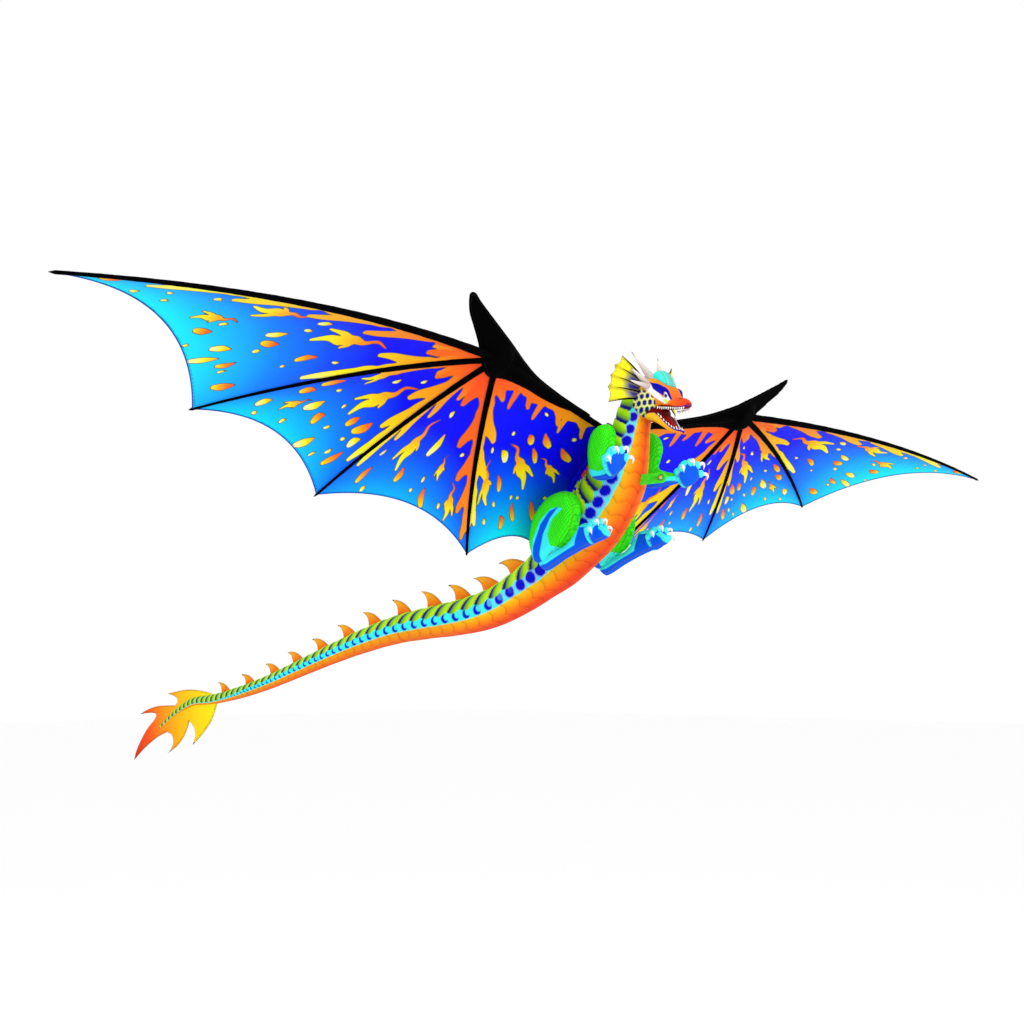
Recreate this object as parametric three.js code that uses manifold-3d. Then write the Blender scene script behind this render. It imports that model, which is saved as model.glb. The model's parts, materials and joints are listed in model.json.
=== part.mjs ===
// A large single-line dragon kite: bat wings on fibreglass rods, a stuffed nylon dragon hung under the
// spine rod, and a jointed tail. Millimetres, +Z up, the dragon looks along -Y, its left wing is +X.
// The origin is the centre of the brass tow eyelet on its chest, where the flying line clips on.
import * as THREE from "three";
import { mergeVertices } from "three/addons/utils/BufferGeometryUtils.js";
import Module from "manifold-3d";

const wasm = await Module();
wasm.setup();

const V = (x, y, z) => new THREE.Vector3(x, y, z);
const RIGHT = -1; // the dragon's right wing and limbs, at -X
const LEFT = 1;

// ---------- driving dimensions ----------
const HALF_SPAN = 965; // a span of 1.93 m
const SHOULDER = V(0, 98, 78); // front end of the spine rod, where both arms meet
const HIP = V(0, 232, -80); // rear end of the spine rod
const HUB = V(287, 50, 131); // wrist fitting, from which the fingers fan out
const TIP = V(HALF_SPAN, -31, 89);
const THUMB_TIP = V(369, 15, 197);
const FINGER_ENDS = [V(669, 174, 29), V(435, 232, -44), V(148, 240, -103)];
const BOW = 0.03; // how far a finger bows towards the wing tip, as a share of its length

const CLOTH = 1.2; // a sail panel with its seam allowance
const GAP = 0.4; // between pieces that touch
const ROD_R = 2.5; // arm and spine rods
const BATTEN_R = 1.5; // leading edge and finger rods
const ROD_CLEARANCE = 0.4;
const HUB_R = 17;
const HUB_HALF_DEPTH = 7;
const SOCKET_DEPTH = 9; // how far a rod plugs into the hub
const HINGE_X = 8; // the wings' fabric hinges lie this far each side of the spine
const SCALLOPS = [0.12, 0.14, 0.125, 0.16]; // depth of each trailing-edge scallop, as a share of its width
const SCALLOP_FADE = 2.5; // how fast that inward curve fades from the trailing edge to the hub
const BILLOW = 10; // how far a panel bellies towards the dragon's back
const ROOT_BILLOW = 6;
const PANEL_START = 0.13; // share of a finger's length where the panels begin, clear of the hub
const PANEL_ROWS = 7;
const ROOT_EDGE_X = HINGE_X + 3; // where the root panel's inner edge lies
const ROOT_MARGIN_ARM = 0.055; // share of the root panel's length left clear for the arm's sleeve
const ROOT_MARGIN_FINGER = 0.03; // share of its width left clear for the finger's sleeve

const TAIL_GAP = 7; // free length between two stuffed tail lengths, where the skin bends
const TORSO_HALF_WIDTH = 46;

// ---------- colours ----------
const material = (color, roughness, metalness = 0) =>
  new THREE.MeshStandardMaterial({ color, roughness, metalness });
const SAIL = material(0x1060ff, 0.75);
const BLACK_NYLON = material(0x0a0a0a, 0.75);
const FIBREGLASS = material(0x202020, 0.4);
const VINYL = material(0x111111, 0.5);
const BRASS = material(0xc9a227, 0.35, 1);
const SKIN = material(0xff9a20, 0.75);
const LEG_SKIN = material(0x30f020, 0.75);
const PAW_SKIN = material(0x1060f0, 0.75);
const HORN = material(0xe8dcd8, 0.6);
const FRILL = material(0xffee20, 0.75);
const CREST = material(0xffa020, 0.75);

const kite = new THREE.Group();

// Adds a named mesh to the kite.
function add(name, geometry, mat) {
  const mesh = new THREE.Mesh(geometry, mat);
  mesh.name = name;
  kite.add(mesh);
  return mesh;
}

// ---------- solid builders ----------
// A geometry from points and triangles, turned to face outwards.
function solid(points, triangles) {
  let volume = 0;
  for (let i = 0; i < triangles.length; i += 3) {
    const [a, b, c] = [0, 1, 2].map((k) => points[triangles[i + k]]);
    volume += a.dot(b.clone().cross(c));
  }
  const index = volume < 0 ? [...triangles].reverse() : triangles;
  const geometry = new THREE.BufferGeometry();
  geometry.setFromPoints(points);
  geometry.setIndex(index);
  return geometry;
}

// The two triangles between columns j and k of rows a and b.
const quad = (a, b, j, k) => [a + j, b + j, b + k, a + j, b + k, a + k];

// A solid through rings of equal point count. Open ends are capped; a closed loft joins its last ring to
// its first, which makes a tube with a bore.
function loft(rings, closed = false) {
  const n = rings[0].length;
  const points = rings.flat();
  const triangles = [];
  const last = closed ? rings.length : rings.length - 1;
  for (let i = 0; i < last; i++)
    for (let j = 0; j < n; j++)
      triangles.push(...quad(i * n, ((i + 1) % rings.length) * n, j, (j + 1) % n));
  if (!closed)
    for (const [start, flip] of [[0, false], [(rings.length - 1) * n, true]]) {
      const centre = new THREE.Vector3();
      for (let j = 0; j < n; j++) centre.addScaledVector(points[start + j], 1 / n);
      const c = points.push(centre) - 1;
      for (let j = 0; j < n; j++) {
        const [a, b] = [start + j, start + ((j + 1) % n)];
        triangles.push(...(flip ? [b, a, c] : [a, b, c]));
      }
    }
  return solid(points, triangles);
}

// A sheet of even thickness over a grid of points.
function slab(grid, thickness) {
  const [rows, columns] = [grid.length, grid[0].length];
  const at = (i, j) => grid[Math.min(Math.max(i, 0), rows - 1)][Math.min(Math.max(j, 0), columns - 1)];
  const offset = (side) =>
    grid.flatMap((row, i) =>
      row.map((p, j) => {
        const along = at(i + 1, j).clone().sub(at(i - 1, j));
        const across = at(i, j + 1).clone().sub(at(i, j - 1));
        return p.clone().addScaledVector(along.cross(across).normalize(), (side * thickness) / 2);
      }),
    );
  const points = [...offset(1), ...offset(-1)];
  const back = rows * columns;
  const triangles = [];
  for (let i = 0; i < rows - 1; i++)
    for (let j = 0; j < columns - 1; j++) {
      triangles.push(...quad(i * columns, (i + 1) * columns, j, j + 1));
      triangles.push(...quad(back + (i + 1) * columns, back + i * columns, j, j + 1));
    }
  const rim = [];
  for (let j = 0; j < columns; j++) rim.push(j);
  for (let i = 1; i < rows; i++) rim.push(i * columns + columns - 1);
  for (let j = columns - 2; j >= 0; j--) rim.push((rows - 1) * columns + j);
  for (let i = rows - 2; i > 0; i--) rim.push(i * columns);
  rim.forEach((a, k) => {
    const b = rim[(k + 1) % rim.length];
    triangles.push(a, b, back + b, a, back + b, back + a);
  });
  return solid(points, triangles);
}

// A ring of points round an ellipse with these half axes.
function ring(centre, side, up, halfWidth, halfHeight, sides) {
  const points = [];
  for (let k = 0; k < sides; k++) {
    const a = (2 * Math.PI * k) / sides;
    points.push(
      centre
        .clone()
        .addScaledVector(side, halfWidth * Math.cos(a))
        .addScaledVector(up, halfHeight * Math.sin(a)),
    );
  }
  return points;
}

// Rings along a path of [point, half width, half height]. up says which way the half height lies.
function ringsAlong(stations, up, sides) {
  return stations.map(([centre, halfWidth, halfHeight], i) => {
    const before = stations[Math.max(i - 1, 0)][0];
    const after = stations[Math.min(i + 1, stations.length - 1)][0];
    const along = after.clone().sub(before).normalize();
    const side = along.clone().cross(up).normalize();
    return ring(centre, side, side.clone().cross(along), halfWidth, halfHeight, sides);
  });
}

const stuffed = (stations, up, sides = 14) => loft(ringsAlong(stations, up, sides));

// A round rod along points.
const rod = (points, r, up, sides = 8) => stuffed(points.map((p) => [p, r, r]), up, sides);

// A sleeve round a rod: its outer radius goes evenly from r0 to r1.
function sleeve(points, r0, r1, bore, up, sides = 8) {
  const share = (i) => i / (points.length - 1);
  const outer = points.map((p, i) => [p, r0 + (r1 - r0) * share(i), r0 + (r1 - r0) * share(i)]);
  const inner = points.map((p) => [p, bore, bore]);
  return loft([...ringsAlong(outer, up, sides), ...ringsAlong(inner, up, sides).reverse()], true);
}

// A flat piece cut to an outline, in the plane of the directions right and up, with its middle at origin.
function cutOut(shape, origin, right, up, thickness, curveSegments = 6) {
  const geometry = new THREE.ExtrudeGeometry(shape, { depth: thickness, bevelEnabled: false, curveSegments });
  geometry.translate(0, 0, -thickness / 2);
  const normal = right.clone().cross(up);
  return geometry.applyMatrix4(new THREE.Matrix4().makeBasis(right, up, normal).setPosition(origin));
}

function toManifold(geometry) {
  const bare = geometry.clone();
  bare.deleteAttribute("normal");
  bare.deleteAttribute("uv");
  const merged = mergeVertices(bare, 1e-3);
  return new wasm.Manifold(
    new wasm.Mesh({
      numProp: 3,
      vertProperties: new Float32Array(merged.attributes.position.array),
      triVerts: new Uint32Array(merged.index.array),
    }),
  );
}

function fromManifold(manifold) {
  const mesh = manifold.getMesh();
  const geometry = new THREE.BufferGeometry();
  geometry.setAttribute("position", new THREE.BufferAttribute(new Float32Array(mesh.vertProperties), 3));
  geometry.setIndex(new THREE.BufferAttribute(new Uint32Array(mesh.triVerts), 1));
  return geometry;
}

// The geometry with every cutter taken away from it.
function cut(geometry, cutters) {
  let body = toManifold(geometry);
  for (const cutter of cutters) body = body.subtract(toManifold(cutter));
  return fromManifold(body);
}

// ---------- wings ----------
const WING_NORMAL = HUB.clone().sub(SHOULDER).cross(FINGER_ENDS[2].clone().sub(SHOULDER)).normalize();
if (WING_NORMAL.y < 0) WING_NORMAL.negate(); // it points to the dragon's back

// Points from a to b, bowed sideways within the wing by a share of the length.
function bowed(a, b, share, steps) {
  const along = b.clone().sub(a);
  const sideways = WING_NORMAL.clone().cross(along).normalize();
  const points = [];
  for (let i = 0; i <= steps; i++) {
    const t = i / steps;
    points.push(
      a.clone().addScaledVector(along, t).addScaledVector(sideways, -4 * share * along.length() * t * (1 - t)),
    );
  }
  return points;
}

const pointAt = (points, t) => {
  const k = Math.min(Math.floor(t * (points.length - 1)), points.length - 2);
  return points[k].clone().lerp(points[k + 1], t * (points.length - 1) - k);
};

// The part of a polyline from share t0 to share t1.
const stretch = (points, t0, t1, steps) =>
  Array.from({ length: steps + 1 }, (_, i) => pointAt(points, t0 + ((t1 - t0) * i) / steps));

const mirrored = (points, side) => points.map((p) => V(p.x * side, p.y, p.z));

// The ribs that fan out from the hub: the leading edge, then the three fingers.
const RIBS = [TIP, ...FINGER_ENDS].map((end) => bowed(HUB, end, BOW, 10));
const ARM = bowed(SHOULDER, HUB, 0, 2);
const SLEEVE_ENDS = [[5.2, 3.2], [4.6, 3.1], [4.6, 3.1], [4.6, 3.1]];

// How a panel's points move: inwards to scallop its trailing edge, and up the normal to billow. u runs out
// from the hub and share across, both from 0 to 1.
function shapedPoint(p, inward, billow, u, share) {
  const scallop = 4 * share * (1 - share) * u ** SCALLOP_FADE;
  const belly = Math.sin(Math.PI * share) * Math.sin(Math.PI * u);
  return p.addScaledVector(inward, scallop).addScaledVector(WING_NORMAL, billow * belly);
}

// From the middle of a trailing edge between two ends towards the hub, as long as the scallop is deep.
function inwardFrom(endA, endB, depth) {
  const chord = endB.clone().sub(endA);
  const inward = WING_NORMAL.clone().cross(chord).setLength(depth * chord.length());
  const middle = endA.clone().lerp(endB, 0.5);
  return inward.dot(HUB.clone().sub(middle)) > 0 ? inward : inward.negate();
}

// A panel between two ribs, which keeps clear of both ribs' sleeves.
function panelGrid(ribA, ribB, clearA, clearB, depth) {
  const grid = [];
  const inward = inwardFrom(ribA.at(-1), ribB.at(-1), depth);
  for (let i = 0; i <= PANEL_ROWS; i++) {
    const row = [];
    const out = i / PANEL_ROWS;
    const u = PANEL_START + (1 - PANEL_START) * out;
    for (let j = 0; j <= PANEL_ROWS; j++) {
      const share = j / PANEL_ROWS;
      const [a, b] = [pointAt(ribA, u), pointAt(ribB, u)];
      const across = b.clone().sub(a);
      const [marginA, marginB] = [[ribA, clearA], [ribB, clearB]].map(([rib, clear]) => {
        const along = pointAt(rib, Math.min(u + 0.02, 1)).sub(pointAt(rib, u - 0.02));
        return clear / Math.sin(along.angleTo(across)) / across.length();
      });
      const v = marginA + (1 - marginA - marginB) * share;
      row.push(shapedPoint(a.lerp(b, v), inward, BILLOW, out, share));
    }
    grid.push(row);
  }
  return grid;
}

// The root panel lies between the arm, the spine and the last finger.
function rootPanelGrid() {
  const spine = [SHOULDER, HIP].map((p) => V(ROOT_EDGE_X, p.y, p.z));
  const finger = RIBS[3];
  const inward = inwardFrom(spine[1], finger.at(-1), SCALLOPS[3]);
  const fingerStart = 0.09;
  const grid = [];
  for (let i = 0; i <= PANEL_ROWS; i++) {
    const row = [];
    const u = i / PANEL_ROWS;
    const down = ROOT_MARGIN_ARM + (1 - ROOT_MARGIN_ARM) * u;
    const margin = ROOT_MARGIN_FINGER * (1.4 - 0.4 * u);
    for (let j = 0; j <= PANEL_ROWS; j++) {
      const share = j / PANEL_ROWS;
      const [a, b] = [pointAt(spine, down), pointAt(finger, Math.max(down, fingerStart))];
      row.push(shapedPoint(a.lerp(b, (1 - margin) * share), inward, ROOT_BILLOW, u, share));
    }
    grid.push(row);
  }
  return grid;
}

// The thumb is a black nylon horn, seen in the wing's plane with the hub at 0, 0 and the thumb's tip along
// +X. Its inner edge runs down into the arm, and its outer edge meets the leading edge at a notch.
const NOTCH_FROM_HUB = 50;
function thumbShape() {
  const reach = THUMB_TIP.clone().sub(HUB).length();
  const shape = new THREE.Shape();
  shape.moveTo(-88, 58);
  shape.quadraticCurveTo(-8, 52, 60, 22);
  shape.quadraticCurveTo(95, 8, reach - 3, 3);
  shape.quadraticCurveTo(reach + 1, 0, reach - 3, -3);
  shape.quadraticCurveTo(85, -6, NOTCH_FROM_HUB, -11);
  shape.quadraticCurveTo(20, -14, 4, -HUB_R);
  shape.lineTo(-HUB_R, -4);
  shape.closePath();
  return shape;
}

function addWing(side, suffix) {
  const normal = V(WING_NORMAL.x * side, WING_NORMAL.y, WING_NORMAL.z);
  const place = (points) => mirrored(points, side);
  const ribNames = ["leading_edge", "finger_1", "finger_2", "finger_3"];

  // Rods: the arm runs from the hinge into the hub, and the battens run from the hub to the trailing edge.
  const rodStart = (HINGE_X + 6) / HUB.x;
  const socket = (points) => 1 - (HUB_R - SOCKET_DEPTH) / points[0].distanceTo(points.at(-1));
  const armRod = place(stretch(ARM, rodStart, socket(ARM), 2));
  add("arm_rod_" + suffix, rod(armRod, ROD_R, normal), FIBREGLASS);
  const battens = RIBS.map((rib) => {
    const length = rib[0].distanceTo(rib.at(-1));
    return { length, points: place(stretch(rib, (HUB_R - SOCKET_DEPTH) / length, 1 - 2 / length, 8)) };
  });
  battens.forEach(({ points }, i) => add(ribNames[i] + "_rod_" + suffix, rod(points, BATTEN_R, normal), FIBREGLASS));

  // The hub is a moulded disc with a blind socket for each rod.
  const disc = new THREE.CylinderGeometry(HUB_R, HUB_R, 2 * HUB_HALF_DEPTH, 20);
  const [hub] = place([HUB]);
  disc.applyQuaternion(new THREE.Quaternion().setFromUnitVectors(V(0, 1, 0), normal));
  disc.translate(hub.x, hub.y, hub.z);
  const bored = (points, r) => rod(points, r + ROD_CLEARANCE, normal, 10);
  const pastEnd = (points) => [points[0].clone().sub(points[1]).setLength(1).add(points[0]), ...points];
  const sockets = battens.map(({ points }) => bored(pastEnd(points.slice(0, 3)), BATTEN_R));
  sockets.push(bored(pastEnd([...armRod].reverse().slice(0, 2)), ROD_R));
  const hubSolid = cut(disc, sockets);
  add("wrist_hub_" + suffix, hubSolid, VINYL);

  // Black sleeves sewn over the rods, clear of the hub.
  RIBS.forEach((rib, i) => {
    const { length } = battens[i];
    const points = place(stretch(rib, (HUB_R + 6) / length, 1 - 3 / length, 8));
    const [r0, r1] = SLEEVE_ENDS[i];
    add(ribNames[i] + "_sleeve_" + suffix, sleeve(points, r0, r1, BATTEN_R + ROD_CLEARANCE, normal), BLACK_NYLON);
  });
  const armSleeve = place(stretch(ARM, rodStart + 0.01, 1 - (HUB_R + 2) / HUB.x, 4));
  add("arm_sleeve_" + suffix, sleeve(armSleeve, 4.5, 8, ROD_R + ROD_CLEARANCE, normal), BLACK_NYLON);

  // Printed nylon panels, each sewn between two ribs.
  const clearances = SLEEVE_ENDS.map(([r0]) => r0 + GAP);
  for (let i = 0; i < 3; i++) {
    const grid = panelGrid(RIBS[i], RIBS[i + 1], clearances[i], clearances[i + 1], SCALLOPS[i]);
    add("sail_panel_" + (i + 1) + "_" + suffix, slab(grid.map(place), CLOTH), SAIL);
  }
  add("sail_panel_4_" + suffix, slab(rootPanelGrid().map(place), CLOTH), SAIL);

  // The thumb stands clear of the hub's face, on the dragon's back side.
  const right = place([THUMB_TIP])[0].sub(hub);
  right.addScaledVector(normal, -right.dot(normal)).normalize();
  const up = normal.clone().cross(right).multiplyScalar(-side);
  const thumbAt = hub.clone().addScaledVector(normal, HUB_HALF_DEPTH + 3);
  add("thumb_fin_" + suffix, cutOut(thumbShape(), thumbAt, right, up, 2.4), BLACK_NYLON);
}

addWing(LEFT, "left");
addWing(RIGHT, "right");

// ---------- spine and tow point ----------
const SPINE_UP = V(1, 0, 0);
add("spine_rod", rod([SHOULDER, HIP], ROD_R, SPINE_UP), FIBREGLASS);

function addShoulderFitting() {
  const along = HIP.clone().sub(SHOULDER).normalize();
  const start = SHOULDER.clone().addScaledVector(along, -10);
  const end = SHOULDER.clone().addScaledVector(along, 16);
  const body = stuffed([[start, HINGE_X - 1.5, 7], [end, HINGE_X - 1.5, 7]], SPINE_UP, 12);
  const bore = rod([SHOULDER.clone().addScaledVector(along, -1), HIP], ROD_R + ROD_CLEARANCE, SPINE_UP, 10);
  add("shoulder_fitting", cut(body, [bore]), VINYL);
}
addShoulderFitting();

const EYELET_R = 3.2; // radius of the eyelet's hole
const EYELET_WALL = 1.4;
const EYELET_HALF = 2.4; // half its length, along X
const TAB_HALF = 1.5; // half the thickness of the tow tab, along X
const TAB_R = 7.5; // its rounded end, round the eyelet
const TAB_LENGTH = 13.5; // from the eyelet's centre to the chest
function addTowPoint() {
  const shape = new THREE.Shape();
  shape.moveTo(TAB_LENGTH, TAB_R);
  shape.lineTo(0, TAB_R);
  shape.absarc(0, 0, TAB_R, Math.PI / 2, (3 * Math.PI) / 2, false);
  shape.lineTo(TAB_LENGTH, -TAB_R);
  shape.closePath();
  shape.holes.push(new THREE.Path().absarc(0, 0, EYELET_R + EYELET_WALL + GAP, 0, 2 * Math.PI, true));
  add("tow_tab", cutOut(shape, V(0, 0, 0), V(0, 1, 0), V(0, 0, 1), 2 * TAB_HALF, 16), SKIN);
  const outer = EYELET_R + EYELET_WALL;
  const profile = [
    new THREE.Vector2(EYELET_R, -EYELET_HALF),
    new THREE.Vector2(outer, -EYELET_HALF),
    new THREE.Vector2(outer, EYELET_HALF),
    new THREE.Vector2(EYELET_R, EYELET_HALF),
    new THREE.Vector2(EYELET_R, -EYELET_HALF),
  ];
  const eyelet = new THREE.LatheGeometry(profile, 24);
  eyelet.rotateZ(Math.PI / 2);
  add("tow_eyelet", eyelet, BRASS);
}
addTowPoint();

// ---------- dragon's body ----------
const LATERAL = V(1, 0, 0);

// A stuffed length round the body's centre line, from [y, z, half width, half height] stations.
function bodyLoft(stations, sides = 18) {
  const rings = stations.map(([y, z, w, h], i) => {
    const [by, bz] = stations[Math.max(i - 1, 0)];
    const [ay, az] = stations[Math.min(i + 1, stations.length - 1)];
    const along = V(0, ay - by, az - bz).normalize();
    return ring(V(0, y, z), LATERAL, LATERAL.clone().cross(along), w, h, sides);
  });
  return loft(rings);
}

// The torso and the neck are one stuffed shell, with a sewn web on its back that ends at the spine rod.
const TORSO = [
  [54, 80, 14, 14],
  [55, 77, 25, 25],
  [56, 70, 28, 28],
  [62, 48, 34, 34],
  [68, 28, 40, 40],
  [78, 6, 44, 44],
  [100, -26, TORSO_HALF_WIDTH, 46],
  [128, -58, 45, 44],
  [160, -86, 42, 40],
  [192, -112, 38, 35],
  [214, -125, 33, 31],
  [221, -129, 20, 19],
];
const WEB_THICKNESS = 5;
function backWeb() {
  const [from, to] = [0.17, 0.96]; // shares of the spine rod's length
  const clear = WING_NORMAL.clone().multiplyScalar(-(ROD_R + GAP));
  const edge = [from, to].map((t) => SHOULDER.clone().lerp(HIP, t).add(clear));
  const shape = new THREE.Shape();
  shape.moveTo(edge[0].y, edge[0].z);
  shape.lineTo(edge[1].y, edge[1].z);
  for (const [y, z] of TORSO.slice(4, -2).reverse()) shape.lineTo(y, z);
  shape.closePath();
  return cutOut(shape, V(0, 0, 0), V(0, 1, 0), V(0, 0, 1), WEB_THICKNESS);
}
const torso = toManifold(bodyLoft(TORSO)).add(toManifold(backWeb()));
add("torso_shell", fromManifold(torso), SKIN);

// Centre line of the tail from the hip to the fin: [y, z, radius].
const TAIL_LINE = [
  [224, -131, 33],
  [308, -169, 30],
  [418, -190, 27],
  [552, -206, 22.5],
  [716, -246, 16.5],
  [878, -292, 12.5],
  [1043, -325, 9.5],
];
// Share of the tail's length where each stuffed length ends.
const TAIL_JOINTS = [0, 0.24, 0.49, 0.74, 1];
const tailCurve = new THREE.CatmullRomCurve3(TAIL_LINE.map(([y, z, r]) => V(r, y, z)));
const tailAt = (t) => tailCurve.getPointAt(t);

function addTailLength(number) {
  const length = tailCurve.getLength();
  const clear = TAIL_GAP / 2 / length;
  const [t0, t1] = [TAIL_JOINTS[number - 1] + clear, TAIL_JOINTS[number] - clear];
  const dome = 6 / length;
  const shares = [t0, t0 + dome];
  for (let i = 1; i < 5; i++) shares.push(t0 + dome + ((t1 - t0 - 2 * dome) * i) / 5);
  shares.push(t1 - dome, t1);
  const stations = shares.map((t, i) => {
    const p = tailAt(t);
    const r = p.x * (i === 0 || i === shares.length - 1 ? 0.6 : 1);
    return [p.y, p.z, r, r];
  });
  add("tail_length_" + number, bodyLoft(stations, 14), SKIN);
}
for (let n = 1; n <= 4; n++) addTailLength(n);

// A strip of backswept spikes sewn along the top of a length of the body.
function crestStrip(ts, lineAt, radiusAt, height) {
  const shape = new THREE.Shape();
  const base = (t) => {
    const p = lineAt(t);
    const q = lineAt(t + 0.004);
    const along = V(0, q.y - p.y, q.z - p.z).normalize();
    const up = LATERAL.clone().cross(along);
    return { at: V(0, p.y, p.z).addScaledVector(up, radiusAt(t) + GAP + 0.6), along, up };
  };
  const first = base(ts[0][0]);
  shape.moveTo(first.at.y, first.at.z);
  const foot = [];
  for (const [t0, t1] of ts) {
    const [a, b] = [base(t0), base(t1)];
    const tip = b.at.clone().addScaledVector(b.along, height * 0.45).addScaledVector(b.up, height);
    const bend = a.at.clone().lerp(tip, 0.5).addScaledVector(a.up, height * 0.3);
    const back = b.at.clone().addScaledVector(b.along, -height * 0.05).addScaledVector(b.up, height * 0.45);
    shape.lineTo(a.at.y + a.up.y * 2, a.at.z + a.up.z * 2);
    shape.quadraticCurveTo(bend.y, bend.z, tip.y, tip.z);
    shape.quadraticCurveTo(back.y, back.z, b.at.y + b.up.y * 2, b.at.z + b.up.z * 2);
    foot.push(a.at, base((t0 + t1) / 2).at, b.at);
  }
  foot.reverse().forEach((p) => shape.lineTo(p.y, p.z));
  return cutOut(shape, V(0, 0, 0), V(0, 1, 0), V(0, 0, 1), 3, 4);
}

// Spikes along the tail: each is [start, end] of its foot, as shares of the tail's length.
const SPIKE_FOOT = 0.042;
const SPIKES_PER_LENGTH = 3;
const FIRST_SPIKE_HEIGHT = 30;
const SPIKE_SHRINK = 4; // how much lower the spikes are on each next length
for (let k = 0; k < 4; k++) {
  const [t0, t1] = [TAIL_JOINTS[k] + 0.02, TAIL_JOINTS[k + 1] - 0.035];
  const spikes = Array.from({ length: SPIKES_PER_LENGTH }, (_, i) => {
    const t = t0 + ((t1 - t0 - SPIKE_FOOT) * i) / (SPIKES_PER_LENGTH - 1);
    return [t, t + SPIKE_FOOT];
  });
  const height = FIRST_SPIKE_HEIGHT - SPIKE_SHRINK * k;
  add("tail_crest_" + (k + 1), crestStrip(spikes, tailAt, (t) => tailAt(t).x, height), CREST);
}

// The arrow-shaped fin at the end of the tail, flat in the plane of the spikes.
function addTailFin() {
  const [y0, z0] = TAIL_LINE.at(-1);
  const shape = new THREE.Shape();
  shape.moveTo(4, 12);
  shape.quadraticCurveTo(60, 28, 118, 4);
  shape.quadraticCurveTo(98, -6, 92, -16);
  shape.quadraticCurveTo(140, -26, 182, -60);
  shape.quadraticCurveTo(160, -58, 140, -68);
  shape.quadraticCurveTo(190, -108, 262, -122);
  shape.quadraticCurveTo(190, -126, 118, -84);
  shape.quadraticCurveTo(112, -110, 82, -128);
  shape.quadraticCurveTo(92, -92, 72, -62);
  shape.quadraticCurveTo(50, -80, 24, -84);
  shape.quadraticCurveTo(16, -50, 4, -14);
  shape.closePath();
  const axis = tailCurve.getTangentAt(1);
  const slope = Math.atan2(axis.z, axis.y);
  const right = V(0, Math.cos(slope * 0.35), Math.sin(slope * 0.35));
  const up = V(0, -right.z, right.y);
  const finAt = V(0, y0, z0).addScaledVector(right, 1.5);
  add("tail_fin", cutOut(shape, finAt, right, up, 3, 5), CREST);
}
addTailFin();

// ---------- head ----------
const SKULL = [
  [58, 112, 10, 9],
  [50, 113, 18, 17],
  [36, 115, 25, 23],
  [14, 115, 29, 26],
  [-6, 112, 25, 19],
  [-26, 106, 19, 13],
  [-44, 101, 13, 9],
  [-53, 100, 6, 4],
];
add("skull", bodyLoft(SKULL, 16), SKIN);
const JAW = [
  [22, 82, 10, 3],
  [14, 80, 20, 4.5],
  [0, 78, 21, 6],
  [-12, 73.5, 17, 6],
  [-22, 67, 12, 5],
  [-31, 63, 8, 3.5],
  [-37, 62, 4, 2],
];
add("jaw", bodyLoft(JAW, 14), SKIN);

const EAR_SPLAY = V(0.92, 0.39, 0); // which way the left ear's fan points
const EAR_ROOT = V(34, 14, 118);
const horn = (stations) => stuffed(stations.map(([p, r]) => [p, r, r]), V(0, 0.3, 1), 8);
for (const [side, suffix] of [[LEFT, "left"], [RIGHT, "right"]]) {
  const crown = [[V(17, 12, 144), 6], [V(21, 18, 156), 4], [V(29, 29, 174), 1]];
  add("crown_horn_" + suffix, horn(crown.map(([p, r]) => [V(p.x * side, p.y, p.z), r])), HORN);

  // The ear frill is a fan of yellow nylon with five ribs.
  const ear = new THREE.Shape();
  const points = [[0, 52], [14, 40], [20, 40], [29, 24], [33, 22], [36, 4], [38, 2], [34, -16], [34, -20], [16, -24]];
  ear.moveTo(0, -6);
  ear.lineTo(-2, 12);
  points.forEach(([x, y]) => ear.lineTo(x, y));
  ear.closePath();
  const right = V(EAR_SPLAY.x * side, EAR_SPLAY.y, 0).normalize();
  const earAt = V(EAR_ROOT.x * side, EAR_ROOT.y, EAR_ROOT.z);
  add("ear_frill_" + suffix, cutOut(ear, earAt, right, V(0, 0, 1), 2, 4), FRILL);
}

// ---------- legs ----------
for (const [side, suffix] of [[LEFT, "left"], [RIGHT, "right"]]) {
  const at = (x, y, z) => V(x * side, y, z);
  const FORWARD = V(0, -1, 0.2);
  const foreLeg = [
    [at(54, 60, 84), 6, 8],
    [at(55, 60, 76), 10, 20],
    [at(57, 60, 52), 12, 25],
    [at(59, 62, 26), 12, 21],
    [at(62, 62, 6), 11, 15],
    [at(64, 58, -4), 7, 8],
  ];
  add("fore_leg_" + suffix, stuffed(foreLeg, FORWARD, 12), LEG_SKIN);
  const forePaw = [
    [at(71, 38, -6), 5, 5],
    [at(75, 30, 0), 9, 7],
    [at(81, 18, 9), 17, 9],
    [at(86, 8, 20), 21, 8],
    [at(89, 4, 32), 17, 5],
    [at(90, 3, 38), 9, 3],
  ];
  add("fore_paw_" + suffix, stuffed(forePaw, FORWARD, 12), PAW_SKIN);

  const hindLeg = [
    [at(62, 120, -14), 7, 12],
    [at(64, 126, -22), 12, 28],
    [at(66, 136, -48), 14, 42],
    [at(67, 148, -78), 14, 36],
    [at(68, 158, -98), 12, 22],
    [at(68, 162, -107), 7, 10],
  ];
  add("hind_leg_" + suffix, stuffed(hindLeg, V(0, -1, -0.3), 12), LEG_SKIN);
  const hindPaw = [
    [at(69, 166, -126), 6, 5],
    [at(69, 158, -125), 10, 8],
    [at(69, 120, -116), 11, 9],
    [at(69, 88, -100), 17, 11],
    [at(69, 66, -82), 21, 11],
    [at(69, 48, -72), 16, 7],
    [at(69, 42, -69), 9, 4],
  ];
  add("hind_paw_" + suffix, stuffed(hindPaw, V(0, 0.3, 1), 12), PAW_SKIN);
}

export default kite;
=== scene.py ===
# The looks of the dragon kite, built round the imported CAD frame. Metres, +Z up, the dragon faces -Y and its
# left wing is +X. Skins, sails and skull are meshes made here, and their prints are painted in code.
import json
import math

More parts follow.
